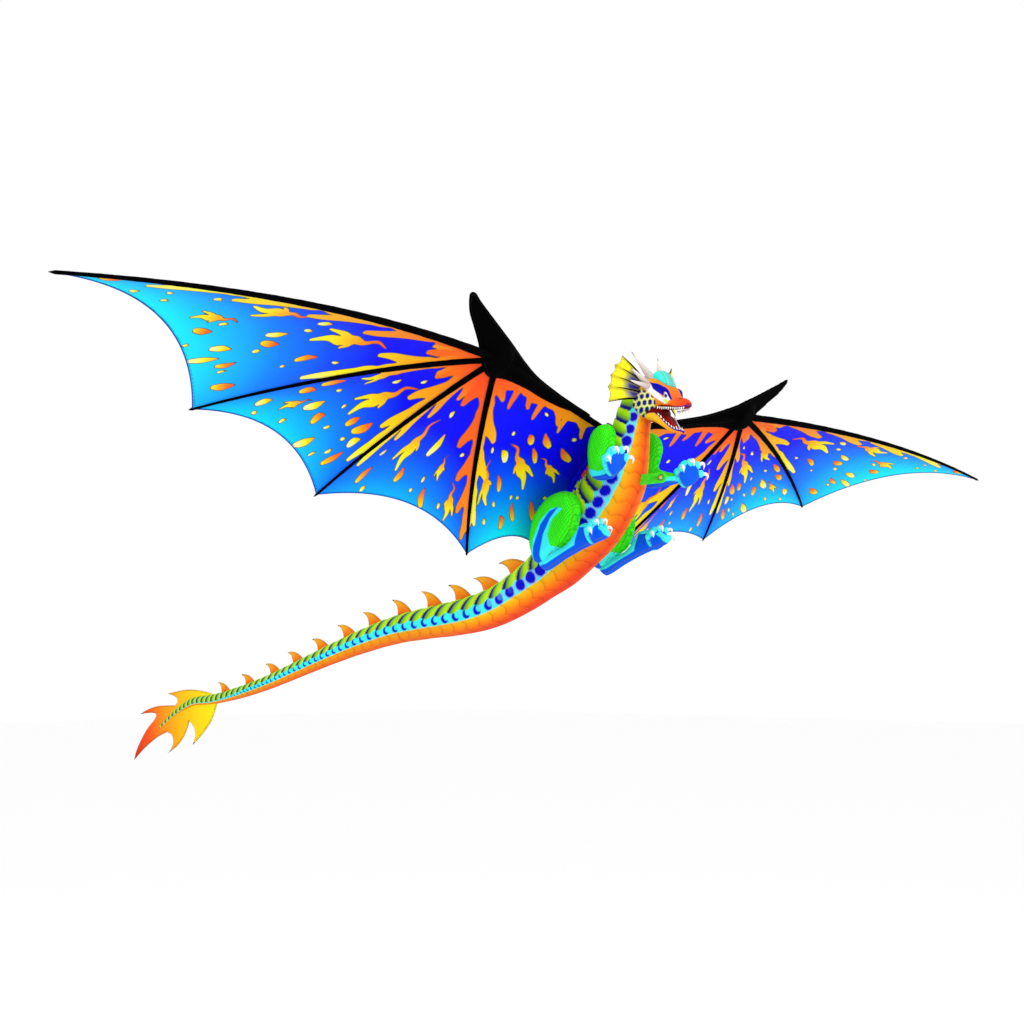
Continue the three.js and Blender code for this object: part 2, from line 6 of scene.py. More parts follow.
import bpy
import numpy as np
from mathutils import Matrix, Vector, geometry


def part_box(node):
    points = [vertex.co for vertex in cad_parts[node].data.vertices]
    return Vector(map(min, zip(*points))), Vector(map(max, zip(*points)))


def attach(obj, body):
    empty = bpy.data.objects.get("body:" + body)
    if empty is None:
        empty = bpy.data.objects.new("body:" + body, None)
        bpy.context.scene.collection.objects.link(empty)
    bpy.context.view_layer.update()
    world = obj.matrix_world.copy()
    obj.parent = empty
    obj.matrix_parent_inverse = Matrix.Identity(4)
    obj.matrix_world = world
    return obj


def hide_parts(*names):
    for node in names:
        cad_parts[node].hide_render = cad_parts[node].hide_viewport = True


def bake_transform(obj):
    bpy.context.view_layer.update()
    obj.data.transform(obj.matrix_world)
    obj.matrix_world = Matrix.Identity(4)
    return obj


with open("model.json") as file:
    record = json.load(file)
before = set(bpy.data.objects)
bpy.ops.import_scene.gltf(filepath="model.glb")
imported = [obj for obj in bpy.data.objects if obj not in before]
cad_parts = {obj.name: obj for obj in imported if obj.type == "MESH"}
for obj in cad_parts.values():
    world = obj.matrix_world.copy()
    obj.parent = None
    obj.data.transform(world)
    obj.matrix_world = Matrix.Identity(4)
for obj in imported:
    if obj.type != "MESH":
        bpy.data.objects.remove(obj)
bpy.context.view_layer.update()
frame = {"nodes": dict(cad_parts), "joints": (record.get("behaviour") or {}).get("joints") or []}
MM = 0.001


# ---------- colours ----------
def srgb(r, g, b):
    """A screen colour from 0 to 255 as linear light."""
    share = np.array([r, g, b], float) / 255
    return np.where(share <= 0.04045, share / 12.92, ((share + 0.055) / 1.055) ** 2.4)


DEEP_BLUE = srgb(0, 0, 252)
AZURE = srgb(0, 130, 255)
CYAN = srgb(0, 235, 255)
RED_ORANGE = srgb(255, 75, 30)
GOLD = srgb(255, 200, 10)
YELLOW = srgb(255, 240, 20)
PALE_YELLOW = srgb(255, 250, 170)
OUTLINE = srgb(50, 60, 60)
LIME = srgb(160, 232, 0)
# slate of the painted shadow at the end of each back plate
SHADOW_SLATE = srgb(88, 112, 110)
NAVY = srgb(0, 10, 120)
STRIPE_CYAN = srgb(60, 245, 240)
HALO = srgb(150, 170, 255)
SPOT_BLUE = srgb(0, 0, 205)
SCALE_GREEN = srgb(70, 255, 20)
SCALE_DARK = srgb(30, 215, 25)
PAW_BLUE = srgb(0, 90, 235)
WHITE = srgb(250, 250, 250)
CREST_TEAL = srgb(66, 242, 224)
EYE_BLUE = srgb(10, 10, 170)
MOUTH_RED = srgb(130, 0, 0)
LIP_PURPLE = srgb(75, 20, 150)
INK = srgb(12, 12, 14)


def ramp(t, stops):
    """Colours at t from [(place, colour), ...]."""
    places = [p for p, _ in stops]
    return np.stack([np.interp(t, places, [c[k] for _, c in stops]) for k in range(3)], -1)


def step(x, edge, soft):
    """0 below the edge and 1 above it, over a soft width."""
    t = np.clip((x - edge) / soft + 0.5, 0, 1)
    return t * t * (3 - 2 * t)


def over(base, colour, share):
    """The colour laid over the base by a share at each point."""
    return base + (np.asarray(colour) - base) * np.asarray(share)[..., None]


# ---------- curves ----------
def catmull(points, count, closed=False):
    """A smooth curve of count points through these points, evenly spaced by chord."""
    p = np.asarray(points, float)
    if closed:
        p = np.vstack([p[-1], p, p[0], p[1]])
    else:
        p = np.vstack([2 * p[0] - p[1], p, 2 * p[-1] - p[-2]])
    t = np.linspace(0, len(p) - 3, count, endpoint=not closed)
    k = np.minimum(t.astype(int), len(p) - 4)
    f = (t - k)[:, None]
    a, b, c, d = p[k], p[k + 1], p[k + 2], p[k + 3]
    return 0.5 * (2 * b + (c - a) * f + (2 * a - 5 * b + 4 * c - d) * f**2 + (3 * b - a - 3 * c + d) * f**3)


def unit(v):
    return v / np.maximum(np.linalg.norm(v, axis=-1, keepdims=True), 1e-12)


def arc_length(points):
    return np.concatenate([[0], np.cumsum(np.linalg.norm(np.diff(points, axis=0), axis=1))])


def segment_distance(p, a, b):
    """Distance from points to a segment, and the share along it."""
    ab = b - a
    t = np.clip(((p - a) @ ab) / max(ab @ ab, 1e-12), 0, 1)
    return np.linalg.norm(p - a - t[:, None] * ab, axis=1), t


def line_distance(p, line, closed=False):
    """Distance from points to a polyline."""
    ends = list(zip(line, np.roll(line, -1, axis=0) if closed else line[1:]))
    return np.min([segment_distance(p, a, b)[0] for a, b in ends], axis=0)


def inside(p, outline):
    """Which points lie inside a closed outline."""
    hit = np.zeros(len(p), bool)
    for (x0, y0), (x1, y1) in zip(outline, np.roll(outline, -1, axis=0)):
        if y0 == y1:
            continue
        spans = (y0 > p[:, 1]) != (y1 > p[:, 1])
        hit ^= spans & (p[:, 0] < (x1 - x0) * (p[:, 1] - y0) / (y1 - y0) + x0)
    return hit


def patch(p, outline, soft=1.2 * MM):
    """1 inside an outline, 0 outside, with a soft edge."""
    outline = np.asarray(outline, float)
    d = line_distance(p, outline, closed=True)
    return step(np.where(inside(p, outline), d, -d), 0, soft)


# ---------- materials ----------
class Nodes:
    """Short calls for building a material's node tree."""

    def __init__(self, name):
        self.material = bpy.data.materials.new(name)
        self.material.use_nodes = True
        self.tree = self.material.node_tree
        self.shader = self.tree.nodes["Principled BSDF"]

    def link(self, source, target):
        if isinstance(source, (int, float)):
            target.default_value = source
        else:
            self.tree.links.new(source, target)

    def node(self, kind, **settings):
        made = self.tree.nodes.new(kind)
        for key, value in settings.items():
            setattr(made, key, value)
        return made

    def attribute(self, name, output="Fac"):
        return self.node("ShaderNodeAttribute", attribute_name=name).outputs[output]

    def math(self, operation, a, b=0.0, c=0.0):
        made = self.node("ShaderNodeMath", operation=operation)
        for value, socket in zip((a, b, c), made.inputs):
            self.link(value, socket)
        return made.outputs[0]

    def split(self, vector):
        made = self.node("ShaderNodeSeparateXYZ")
        self.link(vector, made.inputs[0])
        return made.outputs

    def noise(self, vector, scale, detail=3.0):
        made = self.node("ShaderNodeTexNoise")
        made.inputs["Scale"].default_value = scale
        made.inputs["Detail"].default_value = detail
        if vector is not None:
            self.link(vector, made.inputs["Vector"])
        return made.outputs["Fac"]

    def mix(self, share, a, b):
        made = self.node("ShaderNodeMix", data_type="RGBA")
        self.link(share, made.inputs["Factor"])
        for value, socket in ((a, made.inputs["A"]), (b, made.inputs["B"])):
            if isinstance(value, bpy.types.NodeSocket):
                self.link(value, socket)
            else:
                socket.default_value = (*value, 1)
        return made.outputs["Result"]

    def ramp(self, share, stops):
        made = self.node("ShaderNodeValToRGB")
        self.link(share, made.inputs[0])
        elements = made.color_ramp.elements
        while len(elements) < len(stops):
            elements.new(0.5)
        for element, (place, colour) in zip(elements, stops):
            element.position = place
            element.color = (*colour, 1)
        return made.outputs[0]

    def bump(self, height, distance, strength=1.0, below=None):
        made = self.node("ShaderNodeBump")
        made.inputs["Distance"].default_value = distance
        made.inputs["Strength"].default_value = strength
        self.link(height, made.inputs["Height"])
        if below is not None:
            self.link(below, made.inputs["Normal"])
        return made.outputs[0]


WEAVE = 0.7 * MM  # pitch of the nylon's threads
RIPSTOP = 5.5 * MM  # pitch of its heavier ripstop threads
STITCH = 3.2 * MM  # length of one stitch and its gap
SEAM_IN = 2.4 * MM  # how far a seam's stitches lie inside the edge


def weave_height(n, cloth, ripstop):
    """Height of woven nylon: fine threads, and a heavier one every ripstop pitch."""
    u, v, _ = n.split(cloth)
    threads = []
    for way in (u, v):
        fine = n.math("SINE", n.math("MULTIPLY", way, 2 * math.pi / WEAVE))
        threads.append(n.math("MULTIPLY", fine, 0.25))
        if ripstop:
            wave = n.math("COSINE", n.math("MULTIPLY", way, 2 * math.pi / RIPSTOP))
            threads.append(n.math("POWER", n.math("MAXIMUM", wave, 0.0), 24.0))
    height = threads[0]
    for thread in threads[1:]:
        height = n.math("ADD", height, thread)
    return height


def stitches(n, cloth):
    """1 on the row of stitches inside a piece's sewn edge."""
    u, v, edge = n.split(cloth)
    row = n.math("COMPARE", edge, SEAM_IN, 0.35 * MM)
    along = n.math("FRACT", n.math("DIVIDE", n.math("ADD", u, v), STITCH))
    return n.math("MULTIPLY", row, n.math("LESS_THAN", along, 0.62))


CREASE = 3.6 * MM  # height of a crease in the nylon


def finish_cloth(n, colour, rough=0.62, ripstop=True, thread=None, gloss=0.08):
    """Adds the woven surface, seams, soiling and creases that every nylon piece has."""
    cloth = n.attribute("cloth", "Vector")
    place = n.node("ShaderNodeTexCoord").outputs["Object"]
    fade = n.math("MULTIPLY", n.noise(place, 14.0), 0.16)
    colour = n.mix(fade, colour, (0.0, 0.0, 0.0))
    sewn = stitches(n, cloth)
    if thread is not None:
        colour = n.mix(n.math("MULTIPLY", sewn, 0.75), colour, thread)
    n.link(colour, n.shader.inputs["Base Color"])
    creases = n.bump(n.noise(place, 26.0, 4.0), CREASE, 0.35)
    surface = n.bump(weave_height(n, cloth, ripstop), 0.05 * MM, 0.5, creases)
    n.link(n.bump(sewn, 0.25 * MM, 0.8, surface), n.shader.inputs["Normal"])
    uneven = n.math("MULTIPLY", n.noise(place, 40.0), 0.12)
    n.link(n.math("ADD", uneven, rough - 0.06), n.shader.inputs["Roughness"])
    n.shader.inputs["Specular IOR Level"].default_value = gloss
    return n.material


def painted_cloth(name, rough=0.62, thread=None):
    """Nylon whose print is the mesh's own paint."""
    n = Nodes(name)
    return finish_cloth(n, n.attribute("paint", "Color"), rough, False, thread)


def plain_cloth(name, colour, rough=0.62, ripstop=False, thread=None, gloss=0.08):
    n = Nodes(name)
    place = n.node("ShaderNodeTexCoord").outputs["Object"]
    shades = [(0.35, colour * 0.8), (0.65, colour)]
    return finish_cloth(n, n.ramp(n.noise(place, 30.0), shades), rough, ripstop, thread, gloss=gloss)


def sail_cloth():
    """Ripstop nylon with the wing's print: a blue to cyan ground under flames and drops."""
    n = Nodes("sail_print")
    ground_stops = [(0.0, DEEP_BLUE), (0.36, DEEP_BLUE), (0.52, srgb(0, 75, 255)), (0.68, AZURE),
                    (0.84, srgb(0, 190, 255)), (0.97, CYAN)]
    flame_stops = [(0.0, RED_ORANGE), (0.25, srgb(255, 110, 25)), (0.55, srgb(255, 185, 20)), (0.8, YELLOW),
                   (1.0, PALE_YELLOW)]
    ground = n.ramp(n.attribute("ground"), ground_stops)
    flame = n.ramp(n.attribute("flame_tone"), flame_stops)
    depth = n.math("DIVIDE", n.attribute("flame_depth"), MM)
    body = n.node("ShaderNodeClamp")
    n.link(n.math("ADD", n.math("MULTIPLY", depth, 2.5), 0.5), body.inputs[0])
    line = n.math("MULTIPLY", n.math("COMPARE", depth, 0.0, 0.6), 0.8)
    colour = n.mix(line, n.mix(body.outputs[0], ground, flame), OUTLINE)
    return finish_cloth(n, colour, rough=0.5, thread=tuple(srgb(20, 40, 120)))


def smooth_plastic(name, colour, rough, metal=0.0, grain=60.0):
    """Moulded or drawn hard material with fine grain and a little wear."""
    n = Nodes(name)
    place = n.node("ShaderNodeTexCoord").outputs["Object"]
    wear = n.noise(place, grain)
    n.link(n.ramp(wear, [(0.3, colour * 0.75), (0.7, colour * 1.1)]), n.shader.inputs["Base Color"])
    n.link(n.math("ADD", n.math("MULTIPLY", wear, 0.2), rough - 0.1), n.shader.inputs["Roughness"])
    n.link(n.bump(n.noise(place, grain * 12), 0.05 * MM, 0.4), n.shader.inputs["Normal"])
    n.shader.inputs["Metallic"].default_value = metal
    return n.material


MATERIALS = {
    "sail": sail_cloth(),
    "print": painted_cloth("body_print"),
    "seamed": painted_cloth("seamed_print", thread=tuple(srgb(120, 90, 20))),
    "black": plain_cloth("black_nylon", srgb(2, 2, 3), 0.7, ripstop=True, thread=tuple(srgb(30, 30, 32)),
                         gloss=0.012),
    "tab": smooth_plastic("green_webbing", srgb(60, 225, 20), 0.8, grain=300.0),
    "brass": smooth_plastic("brass", srgb(215, 170, 80), 0.3, metal=1.0),
    "hem": plain_cloth("hem_nylon", srgb(30, 90, 190)),
    "bone": painted_cloth("horn_nylon", rough=0.5),
    "fibreglass": smooth_plastic("fibreglass", srgb(28, 28, 30), 0.35),
    "vinyl": smooth_plastic("black_vinyl", srgb(20, 20, 22), 0.5),
    "enamel": smooth_plastic("tooth_white", srgb(250, 248, 240), 0.3, grain=200.0),
    "pupil": smooth_plastic("pupil_black", srgb(8, 8, 10), 0.12),
}


# ---------- meshes ----------
def piece(name, points, faces, material, body=None, slot=None, paint=None, cloth=None, **fields):
    """A new object from points and faces, with its paint and cloth coordinates, riding on a body."""
    mesh = bpy.data.meshes.new(name)
    mesh.from_pydata(np.asarray(points, float).tolist(), [], [list(map(int, f)) for f in faces])
    mesh.update()
    if paint is not None:
        rgba = np.concatenate([np.clip(paint, 0, 1), np.ones((len(paint), 1))], axis=1)
        mesh.attributes.new("paint", "FLOAT_COLOR", "POINT").data.foreach_set("color", rgba.ravel())
    if cloth is not None:
        mesh.attributes.new("cloth", "FLOAT_VECTOR", "POINT").data.foreach_set("vector", np.ravel(cloth))
    for key, values in fields.items():
        mesh.attributes.new(key, "FLOAT", "POINT").data.foreach_set("value", np.ravel(values))
    mesh.polygons.foreach_set("use_smooth", [True] * len(mesh.polygons))
    mesh.materials.append(MATERIALS[material])
    made = bpy.data.objects.new(name, mesh)
    bpy.context.scene.collection.objects.link(made)
    if body:
        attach(made, body)
    return made


def grid_faces(rows, columns, wrap=False, flip=False):
    """Quads of a grid of points. A wrapped grid joins its last column to its first."""
    i, j = np.meshgrid(np.arange(rows - 1), np.arange(columns if wrap else columns - 1), indexing="ij")
    k = (j + 1) % columns
    quads = np.stack([i * columns + j, (i + 1) * columns + j, (i + 1) * columns + k, i * columns + k], -1)
    quads = quads.reshape(-1, 4)
    return quads[:, ::-1] if flip else quads


def capped_faces(rings, around, flip=False):
    """Faces of a tube's rings, then of its two flat ends."""
    last = rings * around
    sides = grid_faces(rings, around, wrap=True, flip=flip)
    return [*sides, tuple(range(around)), tuple(range(last - 1, last - around - 1, -1))]


def tube(path, wide, high, up, sides=16):
    """A closed tube along a path: its points, faces and cloth coordinates."""
    path = np.asarray(path, float)
    wide = np.broadcast_to(wide, len(path))
    high = np.broadcast_to(high, len(path))
    along = unit(np.gradient(path, axis=0))
    side = unit(np.cross(along, up))
    top = np.cross(side, along)
    a = np.linspace(0, 2 * np.pi, sides, endpoint=False)
    rings = (path[:, None] + side[:, None] * (np.cos(a)[None, :, None] * wide[:, None, None])
             + top[:, None] * (np.sin(a)[None, :, None] * high[:, None, None]))
    points = rings.reshape(-1, 3)
    run = np.repeat(arc_length(path), sides)
    round_it = np.tile(a, len(path)) * np.repeat(np.maximum(wide, high), sides)
    cloth = np.stack([run, round_it, np.full(len(run), 1.0)], -1)
    return points, capped_faces(len(path), sides), cloth


def tapered(path, radii, count):
    """A smooth path and its radius at each point, from a few given points."""
    both = catmull(np.column_stack([path, radii]), count)
    return both[:, :3], np.maximum(both[:, 3], 0.2 * MM)


def fill(outline, spacing):
    """Triangles that fill an outline, with even points inside it. The outline's points come first."""
    outline = np.asarray(outline, float)
    low, high = outline.min(0), outline.max(0)
    xs = np.arange(low[0] + spacing / 2, high[0], spacing)
    ys = np.arange(low[1] + spacing / 2, high[1], spacing * 0.87)
    grid = np.array([(x + (k % 2) * spacing / 2, y) for k, y in enumerate(ys) for x in xs])
    grid = grid[inside(grid, outline)]
    grid = grid[line_distance(grid, outline, closed=True) > spacing * 0.55]
    n = len(outline)
    points = np.vstack([outline, grid])
    edges = [(k, (k + 1) % n) for k in range(n)]
    made = geometry.delaunay_2d_cdt([Vector(p) for p in points], edges, [], 1, 1e-7)
    return np.array([tuple(p) for p in made[0]]), [tuple(f) for f in made[2]], n


def stuffed_shape(outline, thickness, rounding, spacing, place, bulge=None):
    """Two panels cut to an outline, sewn at the rim and stuffed. place(points, height) puts them in space.
    Returns points, faces, flat points, which side each lies on and the distance from the rim."""
    flat, triangles, n = fill(outline, spacing)
    rim = line_distance(flat, np.asarray(outline, float), closed=True)
    on_rim = rim < 1e-6
    share = np.clip(rim / rounding, 0, 1)
    height = thickness / 2 * np.sqrt(1 - (1 - share) ** 2)
    if bulge is not None:
        height = height * bulge(flat)
    height[on_rim] = 0
    back = np.arange(len(flat))
    back[~on_rim] = len(flat) + np.arange((~on_rim).sum())
    faces = triangles + [tuple(back[k] for k in reversed(t)) for t in triangles]
    both = np.vstack([flat, flat[~on_rim]])
    heights = np.concatenate([height, -height[~on_rim]])
    side = np.sign(np.concatenate([np.ones(len(flat)), -np.ones((~on_rim).sum())]))
    return place(both, heights), faces, both, side, np.concatenate([rim, rim[~on_rim]])


def plane(origin, right, up):
    """A placing function for stuffed_shape in the plane of two directions."""
    origin, right, up = (np.asarray(v, float) for v in (origin, right, up))
    normal = np.cross(right, up)
    return lambda p, h: origin + p[:, :1] * right + p[:, 1:2] * up + h[:, None] * normal


def node_points(name):
    return np.array([v.co for v in frame["nodes"][name].data.vertices])


def middle(name):
    low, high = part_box(name)
    return np.array((low + high) / 2)


SIDES = {"left": 1, "right": -1}


def mirror(points, sign):
    return np.asarray(points, float) * np.array([sign, 1, 1])


# ---------- wings ----------
RIBS = ["leading_edge", "finger_1", "finger_2", "finger_3"]
# Depth of each panel's trailing edge scallop, as a share of its width.
SCALLOPS = {1: 0.12, 2: 0.14, 3: 0.125, 4: 0.16}
SCALLOP_FADE = 2.5  # how fast that curve fades from the trailing edge towards the hub
BILLOW = 11 * MM  # how far a panel's middle stands off its flat shape
PANEL_GRIDS = [(330, 165), (185, 118), (160, 132)]  # rows and columns of the three finger panels' meshes
SLEEVE_ROOTS = [6.2, 5.4, 5.4, 5.4]  # half width of each rib's sleeve at the hub, in millimetres
SLEEVE_TIP = 2.0  # and at its far end
SLEEVE_POINT = 5 * MM  # length of the closed point that a sleeve ends in
# How far each panel's ground gets from blue towards cyan, at its first rib and at its second.
GROUND_REACH = {1: (1.0, 1.0), 2: (1.0, 0.86), 3: (0.86, 0.74), 4: (1.0, 1.0)}
# Forked flames of each panel: share of the way out, share across, length in millimetres.
SPLASHES = {
    1: [(0.46, 0.58, 118), (0.63, 0.30, 92), (0.84, 0.45, 66)],
    2: [(0.50, 0.60, 98), (0.42, 0.22, 62), (0.80, 0.30, 46)],
    3: [(0.60, 0.32, 92), (0.82, 0.80, 66), (0.66, 0.66, 44)],
    4: [(0.46, 0.54, 104), (0.62, 0.86, 84), (0.42, 0.26, 66)],
}
DROP_SPACING = {1: 33, 2: 27, 3: 26, 4: 29}  # millimetres
# The flame border along each panel's two ribs: reach, then width in millimetres, then its tongues. A tongue
# is the share of the way out at its root, its length, how far its tip stands off the rib, and its width.
BORDERS = {
    1: [(0.92, 15, [(0.03, 66, 30, 13), (0.17, 96, 30, 12), (0.33, 96, 24, 11), (0.50, 104, 19, 10),
                    (0.68, 104, 13, 8)]),
        (0.64, 15, [(0.04, 76, 36, 12), (0.24, 70, 28, 10), (0.44, 92, 11, 9)])],
    2: [(0.52, 11, [(0.04, 50, 26, 10), (0.22, 70, 13, 9)]),
        (0.78, 14, [(0.05, 50, 32, 11), (0.22, 50, 25, 10), (0.38, 56, 17, 9), (0.55, 70, 10, 8)])],
    3: [(0.78, 12, [(0.05, 44, 28, 10), (0.20, 48, 23, 10), (0.38, 52, 17, 9), (0.56, 62, 9, 8)]),
        (0.96, 13, [(0.06, 40, 30, 11), (0.28, 38, 24, 10), (0.47, 34, 21, 9), (0.63, 40, 18, 8),
                    (0.78, 44, 10, 7)])],
    4: [(1.00, 23, [(0.10, 24, 33, 9), (0.24, 12, 42, 8), (0.33, 22, 29, 8), (0.46, 10, 38, 8),
                    (0.60, 26, 27, 8), (0.69, 12, 36, 7), (0.84, 22, 26, 7)]),
        (0.95, 16, [(0.06, 44, 28, 10), (0.26, 50, 28, 12), (0.47, 48, 24, 11), (0.68, 60, 11, 8)])],
}


class Flames:
    """The flame print over one panel, as the depth inside the flames and their tone at each point."""

    def __init__(self, points):
        self.points = points
        self.depth = np.full(len(points), -1.0)
        self.tone = np.zeros(len(points))

    def add(self, depth, tone, merge=0.0):
        if merge:
            h = np.clip(0.5 + 0.5 * (depth - self.depth) / merge, 0, 1)
            self.tone = self.tone * (1 - h) + tone * h
            self.depth = self.depth * (1 - h) + depth * h + merge * h * (1 - h)
        else:
            self.tone = np.where(depth > self.depth, tone, self.tone)
            self.depth = np.maximum(depth, self.depth)

    def stroke(self, curve, radii, tones, merge=0.0):
        """A flame along a smooth curve, with its radius and its tone at the curve's points."""
        line = catmull(curve, 5 * (len(curve) - 1) + 1)
        at = np.linspace(0, 1, len(line))
        wide = np.interp(at, np.linspace(0, 1, len(radii)), radii)
        shade = np.interp(at, np.linspace(0, 1, len(tones)), tones)
        depth = np.full(len(self.points), -1.0)
        tone = np.zeros(len(self.points))
        for k in range(len(line) - 1):
            away, share = segment_distance(self.points, line[k], line[k + 1])
            here = wide[k] + (wide[k + 1] - wide[k]) * share - away
            tone = np.where(here > depth, shade[k] + (shade[k + 1] - shade[k]) * share, tone)
            depth = np.maximum(here, depth)
        self.add(depth, tone, merge)


def turned(v, degrees):
    c, s = math.cos(math.radians(degrees)), math.sin(math.radians(degrees))
    return np.array([c * v[0] - s * v[1], s * v[0] + c * v[1]])


def splash(flames, at, outward, size, bend):
    """A forked flame: a thin wavy tail towards the hub, a thick middle and two tongues outwards."""
    side = turned(outward, 90) * bend
    place = lambda *points: np.array([at + (outward * x + side * y) * size for x, y in points])
    middle_line = place((-0.52, 0.07), (-0.36, -0.01), (-0.20, 0.03), (-0.04, -0.01), (0.10, 0.03),
                        (0.26, 0.00), (0.46, 0.05))
    radii = np.array([0.010, 0.024, 0.036, 0.066, 0.072, 0.050, 0.022]) * size
    flames.stroke(middle_line, radii, (0.05, 0.3, 0.55, 0.75, 0.85))
    flames.stroke(place((0.02, -0.02), (0.14, -0.09), (0.34, -0.14)), np.array([0.05, 0.040, 0.018]) * size,
                  (0.6, 0.7, 0.8), 3.5 * MM)
    flames.stroke(place((-0.06, 0.0), (-0.03, 0.08), (0.05, 0.13)), np.array([0.05, 0.032, 0.018]) * size,
                  (0.5, 0.6, 0.65), 3.5 * MM)


def border(flames, rib, centre, plan, wobble, tones):
    """The flame band along a rib, with tongues that leave it outwards, on the side of the panel's centre.
    tones are the band's tone at the hub and at the end of its reach."""
    reach, wide, tongues = plan
    run = arc_length(rib)
    length = run[-1]
    at = lambda share: np.array([np.interp(share * length, run, rib[:, i]) for i in (0, 1)])
    tone_at = lambda share: tones[0] + (tones[1] - tones[0]) * np.clip(share / reach, 0, 1) ** 0.8
    out = np.linalg.norm(flames.points - rib[0], axis=1)
    share = out / length
    band = np.interp(share, [0, 0.10, 0.35, reach * 0.85, reach], [1.0, 1.0, 0.72, 0.6, -0.3]) * wide * MM
    waves = 1 + 0.14 * np.sin(out / (11 * MM) + wobble) + 0.08 * np.sin(out / (4.7 * MM) + 2 * wobble)
    flames.add(band * waves - line_distance(flames.points, rib), tone_at(share), 5 * MM)
    for root, size, stand, width in tongues:
        curve, shades = [], []
        for part, off in ((0.0, 0.1), (0.4, 0.42), (0.75, 0.82), (1.0, 1.0)):
            here = root + part * size * MM / length
            point, ahead = at(here), at(here + 0.01)
            sideways = turned(unit(ahead - point), 90)
            sideways = sideways * np.sign(sideways @ (centre - point))
            curve.append(point + sideways * off * stand * MM)
            shades.append(tone_at(here))
        flames.stroke(curve, np.array([1.0, 0.85, 0.6, 0.36]) * width * MM, shades, 4 * MM)


def drop(flames, rng, head, outward, near_hub):
    """One drop with its thin end towards the hub, where nothing is printed yet."""
    big = rng.random() < (0.38 if near_hub else 0.62)
    size = rng.uniform(21, 42) * MM if big else rng.uniform(7, 14) * MM
    radius = rng.uniform(4.2, 6.2) * MM if big else rng.uniform(2.2, 3.4) * MM
    outward = turned(outward, rng.uniform(-10, 10))
    tail = head - outward * (size - radius)
    middle = (head + tail) / 2 + turned(outward, 90) * rng.uniform(-0.5, 0.5) * radius
    away = np.min([np.linalg.norm(flames.points - p, axis=1) for p in (head, middle, tail)], axis=0)
    if flames.depth[away < radius + 2.5 * MM].max(initial=-1) > -1 * MM:
        return
    tones = (0.10, 0.35, 0.70) if big and rng.random() < 0.7 else (0.5, 0.8, 1.0)
    flames.stroke([tail, middle, head], np.array([0.22, 0.68, 1.0, 1.0, 0.72]) * radius, tones)


def scatter(flames, grid, seed, spacing):
    """Scattered drops over a panel's grid of flat points, each flying away from the hub."""
    rng = np.random.default_rng(seed)
    columns = grid.shape[1]
    run = arc_length(grid[:, columns // 2])
    for far in np.arange(40 * MM, run[-1] - 5 * MM, spacing):
        row = grid[np.searchsorted(run, far)]
        count = max(1, round(np.linalg.norm(row[-1] - row[0]) / spacing))
        for k in range(count):
            across = (k + 0.5 + rng.uniform(-0.5, 0.5)) / count
            i = np.searchsorted(run, far + rng.uniform(-0.55, 0.55) * spacing)
            head = grid[min(i, len(grid) - 4), int(across * (columns - 1))]
            if 0.04 < across < 0.96:
                drop(flames, rng, head, unit(head), far < 0.35 * run[-1])


def rib_curve(node, hub):
    """A rod's centreline as a function of the distance from the hub, and the distance to its far end."""
    points = node_points(node)
    out = np.linalg.norm(points - hub, axis=1)
    fits = [np.polyfit(out, points[:, k], 2) for k in range(3)]
    return (lambda d: np.stack([np.polyval(f, d) for f in fits], -1)), out.max() + 2 * MM


def panel_points(edge_a, edge_b, rows, columns, belly, normal, start, hub, depth):
    """A sail panel between two edges, each a function of the share of its length. Returns the cut cloth's
    points, the billowed points and the two shares."""
    u = np.linspace(start, 1, rows)[:, None]
    v = np.linspace(0, 1, columns)[None, :]
    a, b = edge_a(u), edge_b(u)
    chord = b[-1, 0] - a[-1, 0]
    inward = unit(np.cross(normal, chord))
    inward = inward * np.sign(inward @ (hub - (a[-1, 0] + b[-1, 0]) / 2))
    out = (u - start) / (1 - start)
    scallop = 4 * v * (1 - v) * out**SCALLOP_FADE * depth * np.linalg.norm(chord)
    flat = a + (b - a) * v[..., None] + scallop[..., None] * inward
    lift = belly * np.sin(np.pi * v) * np.sin(np.pi * np.clip(out, 0, 0.98))
    return flat, flat + lift[..., None] * normal, out, v


